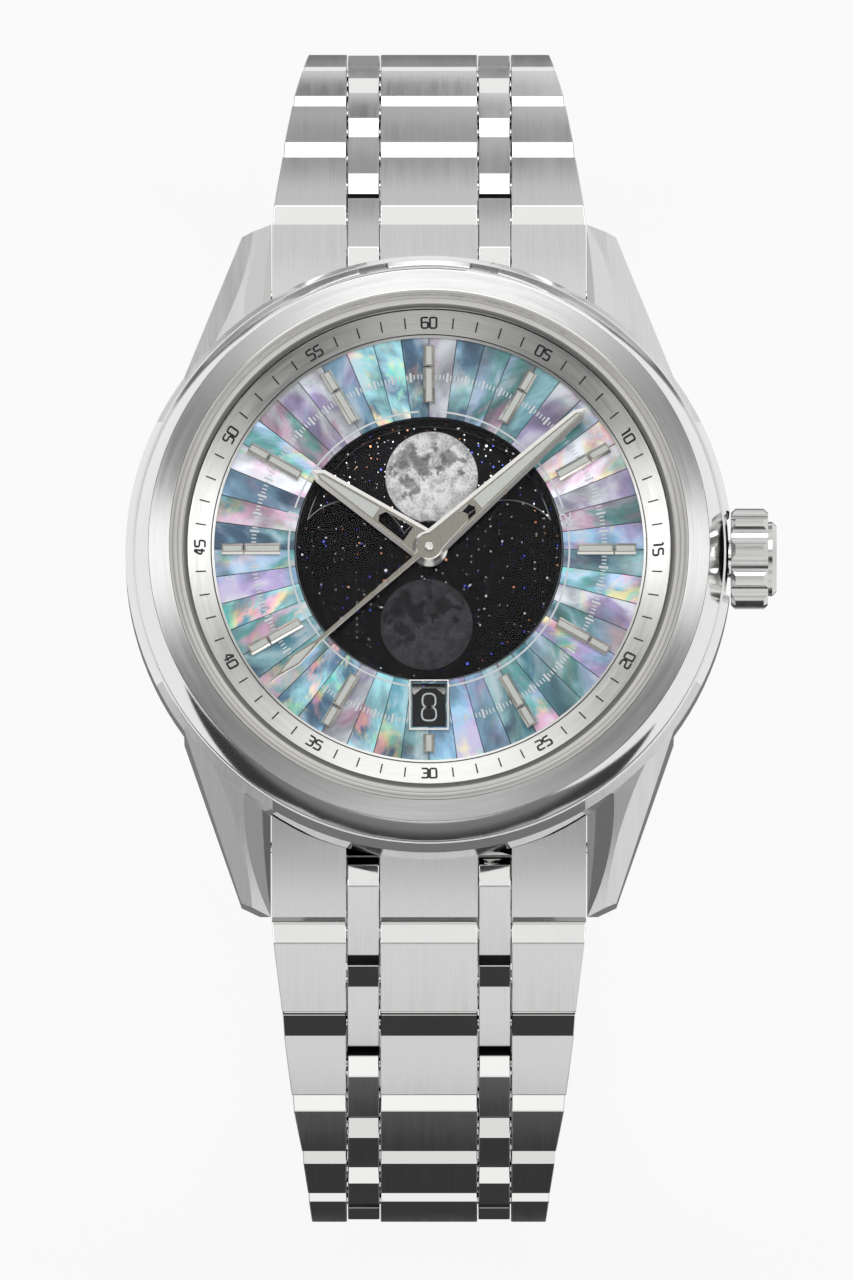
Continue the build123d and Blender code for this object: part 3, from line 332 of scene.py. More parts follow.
def turned_mesh(name, profile, segments, edge=0.0):
    """A closed ring or disc turned round Z from a profile of (radius, height) in mm."""
    shape = bmesh.new()
    rings = []
    for radius, height in profile:
        turns = [2 * pi * i / segments for i in range(segments if radius else 1)]
        ring = corners(shape, [(radius * cos(a), radius * sin(a), height) for a in turns])
        rings.append(ring if radius else ring * segments)
    skin(shape, rings)
    if edge:
        sharp = [e for e in shape.edges if len(e.link_faces) == 2 and e.calc_face_angle() > 0.2]
        bmesh.ops.bevel(shape, geom=sharp, offset=edge * MM, segments=2, affect="EDGES", profile=0.5)
    return mesh_object(name, shape)


def finish_piece(made, body, replaced=(), materials=()):
    """The piece's materials, the body it rides on and what it stands for."""
    for one in materials:
        made.data.materials.append(one)
    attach(made, body)
    if replaced:
        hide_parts(*replaced)


def bezel_top(tree):
    """1 on the bezel's flat ring."""
    place = place_in(tree)
    radius = vector("LENGTH", flattened(place))
    return (radius < flat_outer) * (radius > flat_inner) * (parts(place)[2] > flat_lowest)


bezel = turned_mesh("bezel_ring", bezel_profile, 256, bezel_edge)
bezel_steel = brushed("bezel_steel", brushed_round, bezel_top, stretch=0.93)
finish_piece(bezel, "case", ("bezel",), (bezel_steel,))

# Sapphire crystals and the crystal's gasket.
# Flat, clear and coated so that hardly anything reflects in them; a pale grey
# nylon ring holds the front one.
def blend_out(tree, share, first, second):
    """The material's surface: the first shader where the share is 0, the second where it is 1."""
    mixed = add(tree, "ShaderNodeMixShader", {0: share, 1: first, 2: second})[0]
    feed(tree.nodes["Material Output"].inputs[0], mixed)


def glass(name, tint, index):
    """Clear glass that lets the lamps' light through to what is behind it."""
    made, tree, look = new_material(name, base_color=tint, transmission_weight=1.0, roughness=0.0, ior=index)
    through = add(tree, "ShaderNodeBsdfTransparent", {"Color": [sqrt(c) for c in tint]})[0]
    rays = add(tree, "ShaderNodeLightPath")
    seen = calc("MAXIMUM", rays["Is Camera Ray"], rays["Is Transmission Ray"])
    blend_out(tree, seen, through, Outputs(tree.nodes["Principled BSDF"])[0])
    return made


def ramp(value, stops, interpolation="LINEAR"):
    """A colour for the value, from stops of a place and a colour."""
    node = add(value.tree, "ShaderNodeValToRGB", {0: value}).node
    node.color_ramp.interpolation = interpolation
    elements = node.color_ramp.elements
    while len(elements) < len(stops):
        elements.new(0.5)
    for element, (spot, colour) in zip(elements, stops):
        element.position = spot
        element.color = (*colour, 1)
    return Value(node.outputs[0])


gasket_inner, gasket_outer = 16.9 * MM, 18.1 * MM
# Painted shade and highlight across the gasket, inner to outer radius: dark in the gap and on the steps, pale
# where the crystal's edge shows bright.
gasket_painted_bands = (
    (0.0, 0.12), (0.1, 0.25), (0.17, 0.85), (0.42, 0.74), (0.5, 0.4),
    (0.56, 0.86), (0.8, 0.8), (0.9, 0.4), (1.0, 0.7),
)


def gasket_rings(tree):
    """Painted shade and highlight: dark and pale rings for the ring's lip and steps, as they show through the
    crystal's edge.
    """
    share = span(vector("LENGTH", flattened(place_in(tree))), gasket_inner, gasket_outer)
    return ramp(share, [(spot, (tone, tone * 0.98, tone * 0.93)) for spot, tone in gasket_painted_bands])


def plain(name, tone, roughness, spread=0.15, **values):
    """A surface with faint wiping marks, of one colour or of what a function of its tree gives."""
    made, tree, look = new_material(name, **values)
    marks = noise(place_in(tree), 420.0, 4.0, Distortion=1.2)
    look(
        base_color=tone(tree) if callable(tone) else tone,
        roughness=span(marks, 0.3, 0.75, roughness, roughness + spread),
    )
    return made


dress(glass("sapphire_glass", (0.995, 0.998, 1.0), 1.13), "crystal", "back_crystal")
# The nylon ring's bands are painted shade and highlight.
dress(plain("gasket_nylon", gasket_rings, 0.4), "crystal_gasket")

# Case back and the rubber seals.
# A steel ring with six key slots round the back window, brushed round the
# axis; black rubber rings seal it and the crown's tube.
dress(brushed("back_steel", brushed_round), "case_back")
dress(plain("seal_rubber", (0.012, 0.012, 0.013), 0.5, 0.2), "case_seals")

# Movement.
# Nickel-plated plate and bridges with soft stripes, gilded brass wheels, a
# steel rotor on its post, a blue hairspring, and a plastic holder ring.
def striped_nickel():
    made, tree, look = new_material("striped_nickel", metallic=1.0)
    turned = add(tree, "ShaderNodeMapping", {"Vector": place_in(tree), "Rotation": (0, 0, 0.6)})[0]
    wave = {"Vector": turned, "Scale": 105.0, "Distortion": 0.3, "Detail": 1.0}
    stripes = add(tree, "ShaderNodeTexWave", wave)[1]
    look(
        base_color=mix(stripes, (0.5, 0.49, 0.47), (0.82, 0.8, 0.77)),
        roughness=span(noise(turned, 9000.0, 2.0), 0.3, 0.7, 0.22, 0.36),
        normal=relief(stripes, 0.35, 0.03),
    )
    return made


def polished(name, tone, roughness):
    return plain(name, tone, roughness, 0.05, metallic=1.0)


polished_steel = polished("polished_steel", (0.86, 0.855, 0.845), 0.04)
dress(striped_nickel(), "train_bridge", "balance_cock", "main_plate")
rotor_steel = brushed("rotor_steel", brushed_round, None, (0.72, 0.69, 0.64), 0.28, stretch=0.0)
gilt = brushed("gilt_brass", brushed_round, None, (0.83, 0.62, 0.32), 0.22, streak=0.1, stretch=0.0)
dress(rotor_steel, "rotor")
dress(gilt, "centre_wheel", "third_wheel", "fourth_wheel", "escape_wheel", "barrel", "hour_wheel")
dress(gilt, "cannon_pinion", "balance_wheel")
dress(polished_steel, "pallet_fork", "crown_stem", "crown_tube", "lug_spring_bars")
dress(polished("blued_steel", (0.05, 0.12, 0.42), 0.2), "hairspring")
dress(plain("holder_plastic", (0.42, 0.43, 0.44), 0.45), "movement_ring")

# Dial plate with its 48 slips of mother-of-pearl.
# The slips are ground from shell, so each shows its own cloudy colours; they
# are glued edge to edge on a blackened plate and lacquered.
wedge_count, wedge_width = 48, 1.9
body_stops = (
    (0.0, (0.08, 0.30, 0.40)),
    (0.12, (0.28, 0.56, 0.62)),
    (0.23, (0.06, 0.14, 0.24)),
    (0.33, (0.26, 0.48, 0.68)),
    (0.45, (0.42, 0.34, 0.60)),
    (0.55, (0.74, 0.78, 0.84)),
    (0.66, (0.66, 0.40, 0.56)),
    (0.76, (0.12, 0.38, 0.38)),
    (0.87, (0.40, 0.56, 0.78)),
    (1.0, (0.78, 0.60, 0.64)),
)
fire_stops = (
    (0.34, (0.10, 0.62, 0.56)),
    (0.43, (0.36, 0.74, 0.48)),
    (0.5, (0.88, 0.74, 0.36)),
    (0.57, (0.95, 0.44, 0.40)),
    (0.66, (0.74, 0.32, 0.66)),
)


def pearl():
    made, tree, look = new_material("mother_of_pearl", coat_weight=0.5, coat_roughness=0.04)
    place = place_in(tree)
    x, y, z = parts(place)
    turn = calc("ARCTAN2", x, y) / (2 * pi / wedge_count)
    index = calc("FLOOR", turn)
    luck, other_luck = (
        add(tree, "ShaderNodeTexWhiteNoise", {"W": seed}, noise_dimensions="1D")["Value"]
        for seed in (index, index + 71.3)
    )
    depth = luck * 90.0
    off_middle = calc("FRACT", turn) - 0.5
    aside = off_middle * (wedge_width * MM)
    lean = (other_luck - 0.5) * 1.6
    along = vector("LENGTH", flattened(place)) * 0.95 + aside * lean
    slip = joined(along, aside * 1.1)

    def cloud(shift, scale, detail, roughness, distortion):
        return noise(slip, scale, detail, W=depth + shift, Roughness=roughness, Distortion=distortion)

    clouds = cloud(0.0, 230.0, 5.0, 0.5, 0.6)
    body = ramp(luck * 0.85 + clouds * 0.75 - 0.3, body_stops, "EASE")
    spots = cloud(31.0, 420.0, 5.0, 0.6, 0.5)
    fire_colour = ramp(cloud(83.0, 300.0, 3.0, 0.55, 0.7), fire_stops, "EASE")
    fire = span(spots, 0.5, 0.64) * span(other_luck, 0.3, 0.75, 0.15, 0.85)
    haze = cloud(57.0, 330.0, 4.0, 0.52, 0.4)
    light = span(haze, 0.32, 0.68, 0.6, 1.75) * span(other_luck, 0.0, 1.0, 0.7, 1.5)
    colour = vector("SCALE", mix(fire, body, fire_colour), light)
    colour = mix(span(haze, 0.52, 0.68, 0.0, 0.6), colour, (0.84, 0.86, 0.9))
    joint = span(abs(off_middle), 0.472, 0.493, 1.0, 0.12)
    look(base_color=vector("SCALE", colour, joint), roughness=span(clouds, 0.3, 0.7, 0.18, 0.34))
    return made


dress(pearl(), "pearl_wedges")
dress(plain("blackened_dial_plate", (0.02, 0.022, 0.026), 0.35), "dial_plate")

# Printing on the slips: the circle, the fine minute track and the moon's age.
# White ink laid on by pad, a few hundredths thick; the marks repeat round the
# dial, so one is drawn and carried round.
dial_height = 10.2
print_thickness = 0.02
ink_low, ink_high = dial_height, dial_height + print_thickness
track_radius = 12.25
big_tick, small_tick = (0.65, 0.16), (0.34, 0.09)
print_circle, print_circle_width = 9.8, 0.13
white_ink = plain("white_ink", (0.82, 0.86, 0.88), 0.4)


def end_tree(geometry, given, out):
    """The end of a node tree: real geometry in the given material."""
    whole = add(geometry.tree, "GeometryNodeRealizeInstances", {0: geometry})[0]
    inputs = {"Geometry": whole, "Material": given["Material"]}
    feed(out[0], add(geometry.tree, "GeometryNodeSetMaterial", inputs)[0])


def around_tree():
    """Carries the given piece round Z, Count times, but for the places that are left out."""
    tree, given, out = new_group(
        "Geometry",
        "around_the_dial",
        {
            "Geometry": "Geometry",
            "Count": 60,
            "Leave Out Every": 1000,
            "Gap At": -100.0,
            "Gap Reach": 0.1,
            "Material": "Material",
        },
        {"Geometry": "Geometry"},
    )
    index = add(tree, "GeometryNodeInputIndex")[0] + 1.0
    turn = index * (-2 * pi / given["Count"])
    left_out = calc("FLOORED_MODULO", index, given["Leave Out Every"])
    kept = (left_out > 0.5) * (abs(index - given["Gap At"]) > given["Gap Reach"])
    places = add(tree, "GeometryNodePoints", {"Count": given["Count"]})[0]
    turned = joined(0, 0, turn)
    carried = {"Points": places, "Selection": kept, "Instance": given["Geometry"], "Rotation": turned}
    end_tree(add(tree, "GeometryNodeInstanceOnPoints", carried)[0], given, out)
    return tree


around_the_dial = around_tree()


def final_mesh(made):
    """The object's mesh as its modifiers or curves make it; the object itself goes."""
    bpy.context.view_layer.update()
    graph = bpy.context.evaluated_depsgraph_get()
    data = bpy.data.meshes.new_from_object(made.evaluated_get(graph), depsgraph=graph)
    bpy.data.objects.remove(made)
    return data


def grown(made, tree, values, edge=0.0):
    """The object as its node tree makes it, a plain mesh; its edges rounded if asked, with flat flats."""
    modifier = made.modifiers.new(tree.name, "NODES")
    modifier.node_group = tree
    for item in tree.interface.items_tree:
        if item.in_out == "INPUT" and item.name in values:
            modifier[item.identifier] = values[item.name]
    if edge:
        rounding = made.modifiers.new("edges", "BEVEL")
        rounding.width = edge * MM
        rounding.segments = 2
        rounding.limit_method = "ANGLE"
        rounding.angle_limit = radians(25)
        rounding.harden_normals = True
        rounding.use_clamp_overlap = False
    name = made.name
    data = final_mesh(made)
    data.name = name
    whole = new_object(name, data)
    if not edge:
        soften(whole)
    return whole


def boxes(name, *extents):
    """One object of flat boxes, each given by its low and high corner in mm."""
    shape = bmesh.new()
    for low, high in extents:
        made = bmesh.ops.create_cube(shape, size=1.0)["verts"]
        bmesh.ops.scale(shape, vec=[(b - a) * MM for a, b in zip(low, high)], verts=made)
        bmesh.ops.translate(shape, vec=[(a + b) / 2 * MM for a, b in zip(low, high)], verts=made)
    return mesh_object(name, shape)


def tick(length, width, radius=track_radius, low=ink_low, high=ink_high):
    return ((-width / 2, radius - length / 2, low), (width / 2, radius + length / 2, high))


large_ticks = grown(
    boxes("minute_track_large", tick(*big_tick)),
    around_the_dial,
    {"Leave Out Every": 5, "Gap At": 30.0, "Gap Reach": 1.4, "Material": white_ink},
)
finish_piece(large_ticks, "case")

# The four small marks between the mark at 12 and the next one are carried round.
small_ticks = boxes("minute_track_small", *[tick(*small_tick)] * 4)
for i in range(4):
    turn = Matrix.Rotation(-2 * pi * (i + 1) / 300, 4, "Z")
    for vertex in small_ticks.data.vertices[8 * i : 8 * i + 8]:
        vertex.co = turn @ vertex.co
small_ticks = grown(small_ticks, around_the_dial, {"Gap At": 29.5, "Gap Reach": 1.1, "Material": white_ink})
finish_piece(small_ticks, "case")


def arc_band(name, spans, radius, width, low, high):
    """Flat arcs round Z, from one turn to another in degrees clockwise from 12."""
    shape = bmesh.new()
    section = [(radius + r * width / 2, z) for r, z in ((-1, low), (1, low), (1, high), (-1, high))]
    for first, last in spans:
        steps = max(2, int((last - first) / 2))
        walls = []
        for i in range(steps + 1):
            a = radians(first + (last - first) * i / steps)
            walls.append(corners(shape, [(reach * sin(a), reach * cos(a), z) for reach, z in section]))
        skin(shape, walls, closed=False)
        shape.faces.new(walls[0])
        shape.faces.new(walls[-1])
    return mesh_object(name, shape)


circle_spans = ((4.2, 72.5), (82.5, 172.0), (188.0, 281.0), (287.5, 355.8))
circle = arc_band("age_circle", circle_spans, print_circle, print_circle_width, ink_low, ink_high)
finish_piece(circle, "case", (), (white_ink,))

# Each digit is drawn with a pen on a grid two wide and four high.
digit_strokes = {
    "0": (((0, 0), (2, 0), (2, 4), (0, 4), (0, 0)),),
    "1": (((1.4, 0), (1.4, 4), (0.7, 4)),),
    "2": (((2, 0), (0, 0), (0, 2), (2, 2), (2, 4), (0, 4)),),
    "3": (((0, 0), (2, 0), (2, 4), (0, 4)), ((0.5, 2), (2, 2))),
    "4": (((1.5, 0), (1.5, 4), (1.2, 4), (0, 1.2), (2.1, 1.2)),),
    "5": (((0, 0), (2, 0), (2, 2.2), (0, 2.2), (0, 4), (2, 4)),),
    "6": (((2, 4), (0, 4), (0, 0), (2, 0), (2, 2.2), (0, 2.2)),),
    "7": (((0, 4), (2, 4), (1, 0)),),
    "8": (((1, 2), (2, 2), (2, 4), (0, 4), (0, 2), (1, 2)), ((1, 2), (2, 2), (2, 0), (0, 0), (0, 2), (1, 2))),
    "9": (((0, 0), (2, 0), (2, 4), (0, 4), (0, 1.9), (2, 1.9)),),
}


def pen_tree():
    """Follows the given lines with a flat pen, rounding their corners."""
    tree, given, out = new_group(
        "Geometry",
        "pen_strokes",
        {
            "Geometry": "Geometry",
            "Width": 0.0001,
            "Thickness": 0.00002,
            "Corner": 0.0001,
            "Material": "Material",
        },
        {"Geometry": "Geometry"},
    )
    lines = add(tree, "GeometryNodeMeshToCurve", {0: given["Geometry"]})[0]
    corner = {"Curve": lines, "Radius": given["Corner"], "Count": 3, "Limit Radius": True}
    rounded = add(tree, "GeometryNodeFilletCurve", corner, mode="POLY")[0]
    flat = add(tree, "GeometryNodeSetCurveNormal", {"Curve": rounded}, mode="Z_UP")[0]
    nib = {"Width": given["Width"], "Height": given["Thickness"]}
    pen = add(tree, "GeometryNodeCurvePrimitiveQuadrilateral", nib)[0]
    stroke = {"Curve": flat, "Profile Curve": pen, "Fill Caps": True}
    end_tree(add(tree, "GeometryNodeCurveToMesh", stroke)[0], given, out)
    return tree


pen_strokes = pen_tree()


def written(name, words, surface, height, pen, material, spacing):
    """Numbers drawn with a pen: each word is (text, turn, radius, upright, stretch)."""
    shape = bmesh.new()
    unit = height / 4
    for text, turn, radius, upright, stretch in words:
        wide = unit * stretch
        pitch = 2 * wide * (1 + spacing)
        start = -pitch * (len(text) - 1) / 2 - wide
        sign = -1 if upright else 1
        for i, digit in enumerate(text):
            for stroke in digit_strokes[digit]:
                points = []
                for x, y in stroke:
                    u, v = sign * (start + i * pitch + x * wide), sign * (y - 2) * unit
                    r, a = radius + v, radians(turn) + u / radius
                    points.append((r * sin(a), r * cos(a), surface(r)))
                line = corners(shape, points)
                for ends in zip(line, line[1:]):
                    shape.edges.new(ends)
    sizes = {"Width": pen * MM, "Thickness": print_thickness * MM, "Corner": unit * 0.7 * MM}
    values = {**sizes, "Material": material}
    return grown(mesh_object(name, shape, 0), pen_strokes, values)


ages = (("0", 284.2, print_circle, False, 1), ("29", 77.6, print_circle, False, 1))
age_digits = written(
    "age_digits", ages, lambda r: dial_height + print_thickness / 2, 0.72, 0.12, white_ink, 0.35
)
finish_piece(age_digits, "case")

# Minute ring.
# A silvered brass ring that slopes up to the bezel, brushed round the axis,
# with a thin black circle, sixty black strokes and the minutes printed on it.
ring_inner, ring_outer, ring_lip, ring_rise = 15.0, 16.85, 0.2, 0.85
line_radius, line_width, line_sink, line_rise = 15.2, 0.07, 0.02, 0.03
minute_radius = 16.0


def ring_surface(radius):
    """Height of the ring's slope at this radius."""
    share = (radius - ring_inner) / (ring_outer - ring_inner)
    return dial_height + ring_lip + (ring_rise - ring_lip) * share


silvered = brushed(
    "silvered_ring", brushed_round, None, (0.9, 0.89, 0.86), 0.4, streak=0.2, bump=0.2, lines=7.0, stretch=0.5
)
dress(silvered, "minute_ring")
black_ink = plain("black_ink", (0.012, 0.011, 0.011), 0.4)
strokes = boxes("minute_strokes", tick(0.72, 0.1, minute_radius, 0, print_thickness))
for vertex in strokes.data.vertices:
    vertex.co.z += ring_surface(vertex.co.y / MM) * MM
strokes = grown(strokes, around_the_dial, {"Leave Out Every": 5, "Material": black_ink})
finish_piece(strokes, "case")
line_height = ring_surface(line_radius)
inner_line = arc_band(
    "inner_line", ((0, 360),), line_radius, line_width, line_height - line_sink, line_height + line_rise
)
finish_piece(inner_line, "case", (), (black_ink,))
minutes = [(f"{m:02d}", m * 6, minute_radius, 20 <= m <= 40, 1.3) for m in range(5, 65, 5)]
minute_digits = written(
    "minute_digits", minutes, lambda r: ring_surface(r) + print_thickness / 2, 0.7, 0.15, black_ink, 0.3
)
finish_piece(minute_digits, "case")

# Hour markers.
# Rhodium-plated bars with bevelled edges, two for each hour and a short one at
# 6, each with a strip of pale luminous paint; their feet go into the plate.
marker_width, marker_height, marker_chamfer = 0.8, 0.35, 0.15
marker_outer, marker_inner, marker_six = (12.98, 14.46), (10.37, 12.88), (13.15, 14.46)
lume_half_width, lume_sink, lume_rise, lume_chamfer, lume_inset = 0.185, 0.02, 0.012, 0.004, 0.1


def marker_tone(tree):
    """Painted shade and highlight: dark on the bars' flat tops, bright on their bevels."""
    up = parts(add(tree, "ShaderNodeTexCoord")["Normal"])[2]
    return mix(up > 0.95, (0.84, 0.82, 0.77), (0.32, 0.3, 0.26))


def lume_paint():
    made, tree, look = new_material("luminous_paint", roughness=0.55)
    grain = noise(place_in(tree), 9000.0, 3.0)
    look(base_color=mix(grain, (0.66, 0.68, 0.64), (0.80, 0.82, 0.78)), normal=relief(grain, 0.2, 0.01))
    return made


def dial_bar(name, half, low, high, chamfer, start, end):
    """A bar along +Y on the dial, its two upper edges bevelled."""
    profile = (
        (-half, low),
        (half, low),
        (half, high - chamfer),
        (half - chamfer, high),
        (chamfer - half, high),
        (-half, high - chamfer),
    )
    shape = bmesh.new()
    ends = [corners(shape, [(x, y, z + dial_height) for x, z in profile]) for y in (start, end)]
    for end_corners in ends:
        shape.faces.new(end_corners)
    skin(shape, ends, closed=False)
    return mesh_object(name, shape)


# The bars' steel: painted shade on the flat tops, painted highlight on the bevels.
marker_steel = plain("marker_steel", marker_tone, 0.06, 0.05, metallic=1.0)
lume = lume_paint()
steel_bar = (marker_width / 2, 0, marker_height, marker_chamfer)
lume_strip = (lume_half_width, marker_height - lume_sink, marker_height + lume_rise, lume_chamfer)
marker_kinds = (
    ("marker", "markers", "hand_metal", steel_bar, 0.0, marker_steel),
    ("marker_light", "marker_light", "silver_print", lume_strip, lume_inset, lume),
)
for row, (low, high) in (("outer", marker_outer), ("inner", marker_inner)):
    for stem, rows, slot, section, inset, material in marker_kinds:
        bar = dial_bar(f"{rows}_{row}", *section, low + inset, high - inset)
        bars = grown(bar, around_the_dial, {"Count": 12, "Gap At": 6.0, "Material": material})
        finish_piece(bars, "case", ("hour_markers",) if bars.name == "markers_outer" else ())
for stem, rows, slot, section, inset, material in marker_kinds:
    six = dial_bar(stem + "_six", *section, inset - marker_six[1], -inset - marker_six[0])
    finish_piece(six, "case", (), (material,))

# Date window and date ring.
# A polished frame drops through the dial; the black ring under it carries the
# numbers 1 to 31 in thin white strokes, and shows one of them.
frame_low, frame_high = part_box("date_frame")
frame_middle = [(a + b) / 2 / MM for a, b in zip(frame_low, frame_high)]
frame_half = [(b - a) / 2 / MM for a, b in zip(frame_low, frame_high)]
frame_top, frame_foot = frame_high[2] / MM, frame_low[2] / MM
# Each step of the frame's section: how far inside its outline, and its height.
frame_steps = (
    (0, frame_foot),
    (0, frame_top - 0.03),
    (0.03, frame_top),
    (0.12, frame_top),
    (0.2, frame_top - 0.2),
    (0.22, frame_foot),
)
shape = bmesh.new()
frame_rings = []
for inset, height in frame_steps:
    half_x, half_y = frame_half[0] - inset, frame_half[1] - inset
    signs = ((-1, -1), (1, -1), (1, 1), (-1, 1))
    ring = [(frame_middle[0] + x * half_x, frame_middle[1] + y * half_y, height) for x, y in signs]
    frame_rings.append(corners(shape, ring))
skin(shape, frame_rings)
window = mesh_object("date_window_frame", shape)
finish_piece(window, "case", ("date_frame",), (polished_steel,))
dress(plain("date_ring_black", (0.008, 0.008, 0.009), 0.35), "date_ring")
date_top, date_radius, date_shown, date_count = 9.5, 11.08, 8, 31
dates = [
    (str(n), 180 + (n - date_shown) * 360 / date_count, date_radius, True, 1.0 if n < 10 else 0.66)
    for n in range(1, date_count + 1)
]
numbers = written("date_numbers", dates, lambda r: date_top + print_thickness / 2, 1.9, 0.12, white_ink, 0.42)
finish_piece(numbers, "date_disc")

# Moon disc.
# A thin brass disc printed black, with stars and two full moons that go round
# under the cover, one in the window and one dim beneath the smoked glass. The
# stars glow with painted light, though they are no lamp.
moon_orbit, moon_radius, moon_turn = 5.24, 3.24, 2.0
# Each sea on a moon of radius 1: its middle and its reach.
seas = (
    (-0.62, 0.32, 0.22),
    (-0.44, 0.54, 0.2),
    (-0.17, 0.34, 0.24),
    (0.37, 0.46, 0.24),
    (0.17, 0.17, 0.16),
    (-0.54, -0.13, 0.2),
    (-0.42, -0.37, 0.15),
    (0.64, 0.42, 0.14),
    (-0.2, 0.08, 0.15),
    (-0.82, 0.16, 0.12),
    (0.6, 0.12, 0.12),
    (0.05, 0.66, 0.12),
)
# Each layer of stars: their number per metre, size, shift and brightness.
star_layers = ((700.0, 0.075, 0.013, 1.0), (1300.0, 0.1, 0.031, 0.8), (2000.0, 0.12, 0.057, 0.6))
star_tints = (
    (0.0, (0.9, 0.92, 0.95)),
    (0.62, (0.12, 0.16, 0.85)),
    (0.84, (0.95, 0.42, 0.2)),
    (1.0, (1, 1, 1)),
)


def moon_group():
    """A full moon's mask and its grey: bright highlands, soft dark seas and fine craters."""
    tree, given, out = new_group(
        "Shader",
        "full_moon",
        {"Centre": (0.0, 0.0, 0.0), "Radius": moon_radius * MM, "Seed": 0.0},
        {"Inside": "Float", "Grey": "Float"},
    )
    off = vector("SUBTRACT", flattened(place_in(tree)), given["Centre"])
    unit = vector("SCALE", off, 1.0 / given["Radius"])
    distance = vector("LENGTH", unit)
    seed = given["Seed"]
    wander = noise(unit, 4.2, 7.0, "Color", W=seed, Roughness=0.66)
    shift = vector("SCALE", vector("SUBTRACT", wander, (0.5, 0.5, 0.5)), 0.8)
    wandered = vector("ADD", unit, shift)
    dark = None
    for x, y, reach in seas:
        sea = span(vector("DISTANCE", wandered, (x, y, 0)), reach * 0.45, reach * 1.2, 1.0, 0.0)
        dark = dark + sea if dark else sea
    fine = noise(unit, 17.0, 6.0, W=seed, Roughness=0.7)
    patchy = noise(unit, 4.5, 5.0, W=seed, Distortion=0.6)
    crater = add(tree, "ShaderNodeTexVoronoi", {"Vector": unit, "Scale": 11.0, "Randomness": 1.0})["Distance"]
    grey = 1.05 - calc("MINIMUM", dark, 1.0) * 0.7
    grey = grey * span(fine, 0.3, 0.7, 0.66, 1.25) * span(patchy, 0.36, 0.62, 0.68, 1.12)
    grey = grey * span(crater, 0.05, 0.2, 1.18, 1.0) * span(distance, 0.75, 1.0, 1.0, 0.8)
    feed(out["Inside"], span(distance, 0.985, 1.005, 1.0, 0.0))
    feed(out["Grey"], grey)
    return tree


def star_layer(place, scale, size, seed, brightness):
    """Round specks of one size range, in white, blue or orange: their colour."""
    shifted = vector("ADD", place, (seed, seed * 0.7, 0))
    inputs = {"Vector": shifted, "Scale": scale}
    cells = add(place.tree, "ShaderNodeTexVoronoi", inputs, voronoi_dimensions="2D")
    luck = parts(cells["Color"])
    lit = cells["Distance"] < calc("POWER", luck[0], 3.0) * size
    return vector("SCALE", ramp(luck[1], star_tints, "CONSTANT"), lit * brightness)


def night_sky():
    # The stars glow at this strength: painted light.
    made, tree, look = new_material(
        "night_sky_print_glowing_stars", roughness=0.5, emission_strength=3.2, specular_ior_level=0.1
    )
    made.cycles.emission_sampling = "NONE"
    place = place_in(tree)
    stars = None
    for layer in star_layers:
        specks = star_layer(place, *layer)
        stars = vector("MAXIMUM", stars, specks) if stars else specks
    sky = vector("ADD", stars, (0.010, 0.010, 0.012))
    for half in (0, 1):
        a = radians(moon_turn) + pi * half
        centre = (moon_orbit * sin(a) * MM, moon_orbit * cos(a) * MM, 0)
        moon = add(tree, "ShaderNodeGroup", {"Centre": centre, "Seed": 3.0}, node_tree=full_moon)
        sky = mix(moon["Inside"], sky, joined(*[moon["Grey"]] * 3))
        stars = vector("SCALE", stars, 1.0 - moon["Inside"])
    look(base_color=sky, emission_color=stars)
    return made


full_moon = moon_group()
dress(night_sky(), "moon_disc")

# Smoked moon cover.
# A dark glass with a crescent window between two round lobes; it hangs on the
# dial's ledge, and its ground window edge has a painted highlight along the lobes
# and painted shade on the rest.
cover_low, cover_high, cover_radius, cover_bore, cover_bevel = 9.8, 10.1, 9.34, 1.16, 0.05
crescent_radius, lobe_radius, lobe_centre, hub_cover_radius = 8.7, 4.06, (5.43, -0.5), 2.1


def frosted_tone(tree):
    """Painted highlight, pale, on the ground edge of the lobes; painted shade, dark, on the rest of the edge.
    """
    highlit = span(parts(place_in(tree))[1], 3.3 * MM, 3.9 * MM, 1.0, 0.0)
    return mix(highlit, (0.02, 0.02, 0.021), (0.36, 0.36, 0.37))


def loop_curve(name, loops, low, high, chamfer):
    """A flat plate with holes and bevelled edges, from closed loops in mm."""
    data = bpy.data.curves.new(name, "CURVE")
    data.dimensions = "2D"
    data.fill_mode = "BOTH"
    data.extrude = ((high - low) / 2 - chamfer) * MM
    data.bevel_depth = chamfer * MM
    data.bevel_resolution = 0
    data.offset = -chamfer * MM
    for loop in loops:
        path = data.splines.new("POLY")
        path.points.add(len(loop) - 1)
        path.use_cyclic_u = True
        for point, (x, y) in zip(path.points, loop):
            point.co = (x * MM, y * MM, 0, 1)
    plate = final_mesh(new_object(name, data))
    shape = bmesh.new()
    shape.from_mesh(plate)
    bpy.data.meshes.remove(plate)
    bmesh.ops.remove_doubles(shape, verts=shape.verts, dist=0.0005 * MM)
    bmesh.ops.recalc_face_normals(shape, faces=shape.faces)
    bmesh.ops.translate(shape, verts=shape.verts, vec=(0, 0, (low + high) / 2 * MM))
    for face in shape.faces:
        face.material_index = 0 if abs(face.normal.z) > 0.98 else 1
    return mesh_object(name, shape, 20)


def circle_loop(radius, steps=64):
    return [(radius * cos(2 * pi * i / steps), radius * sin(2 * pi * i / steps)) for i in range(steps)]


def arc_points(centre, radius, first, last, steps):
    """Points from one turn to another, in radians from +X."""
    turns = (first + (last - first) * i / steps for i in range(steps + 1))
    return [(centre[0] + radius * cos(a), centre[1] + radius * sin(a)) for a in turns]


def circles_meet(radius):
    """The upper point where the right lobe meets a circle round the axis."""
    x0, y0 = lobe_centre
    apart = hypot(x0, y0)
    along = (radius**2 - lobe_radius**2 + apart**2) / (2 * apart)
    aside = sqrt(radius**2 - along**2)
    return (along * x0 - aside * y0) / apart, (along * y0 + aside * x0) / apart


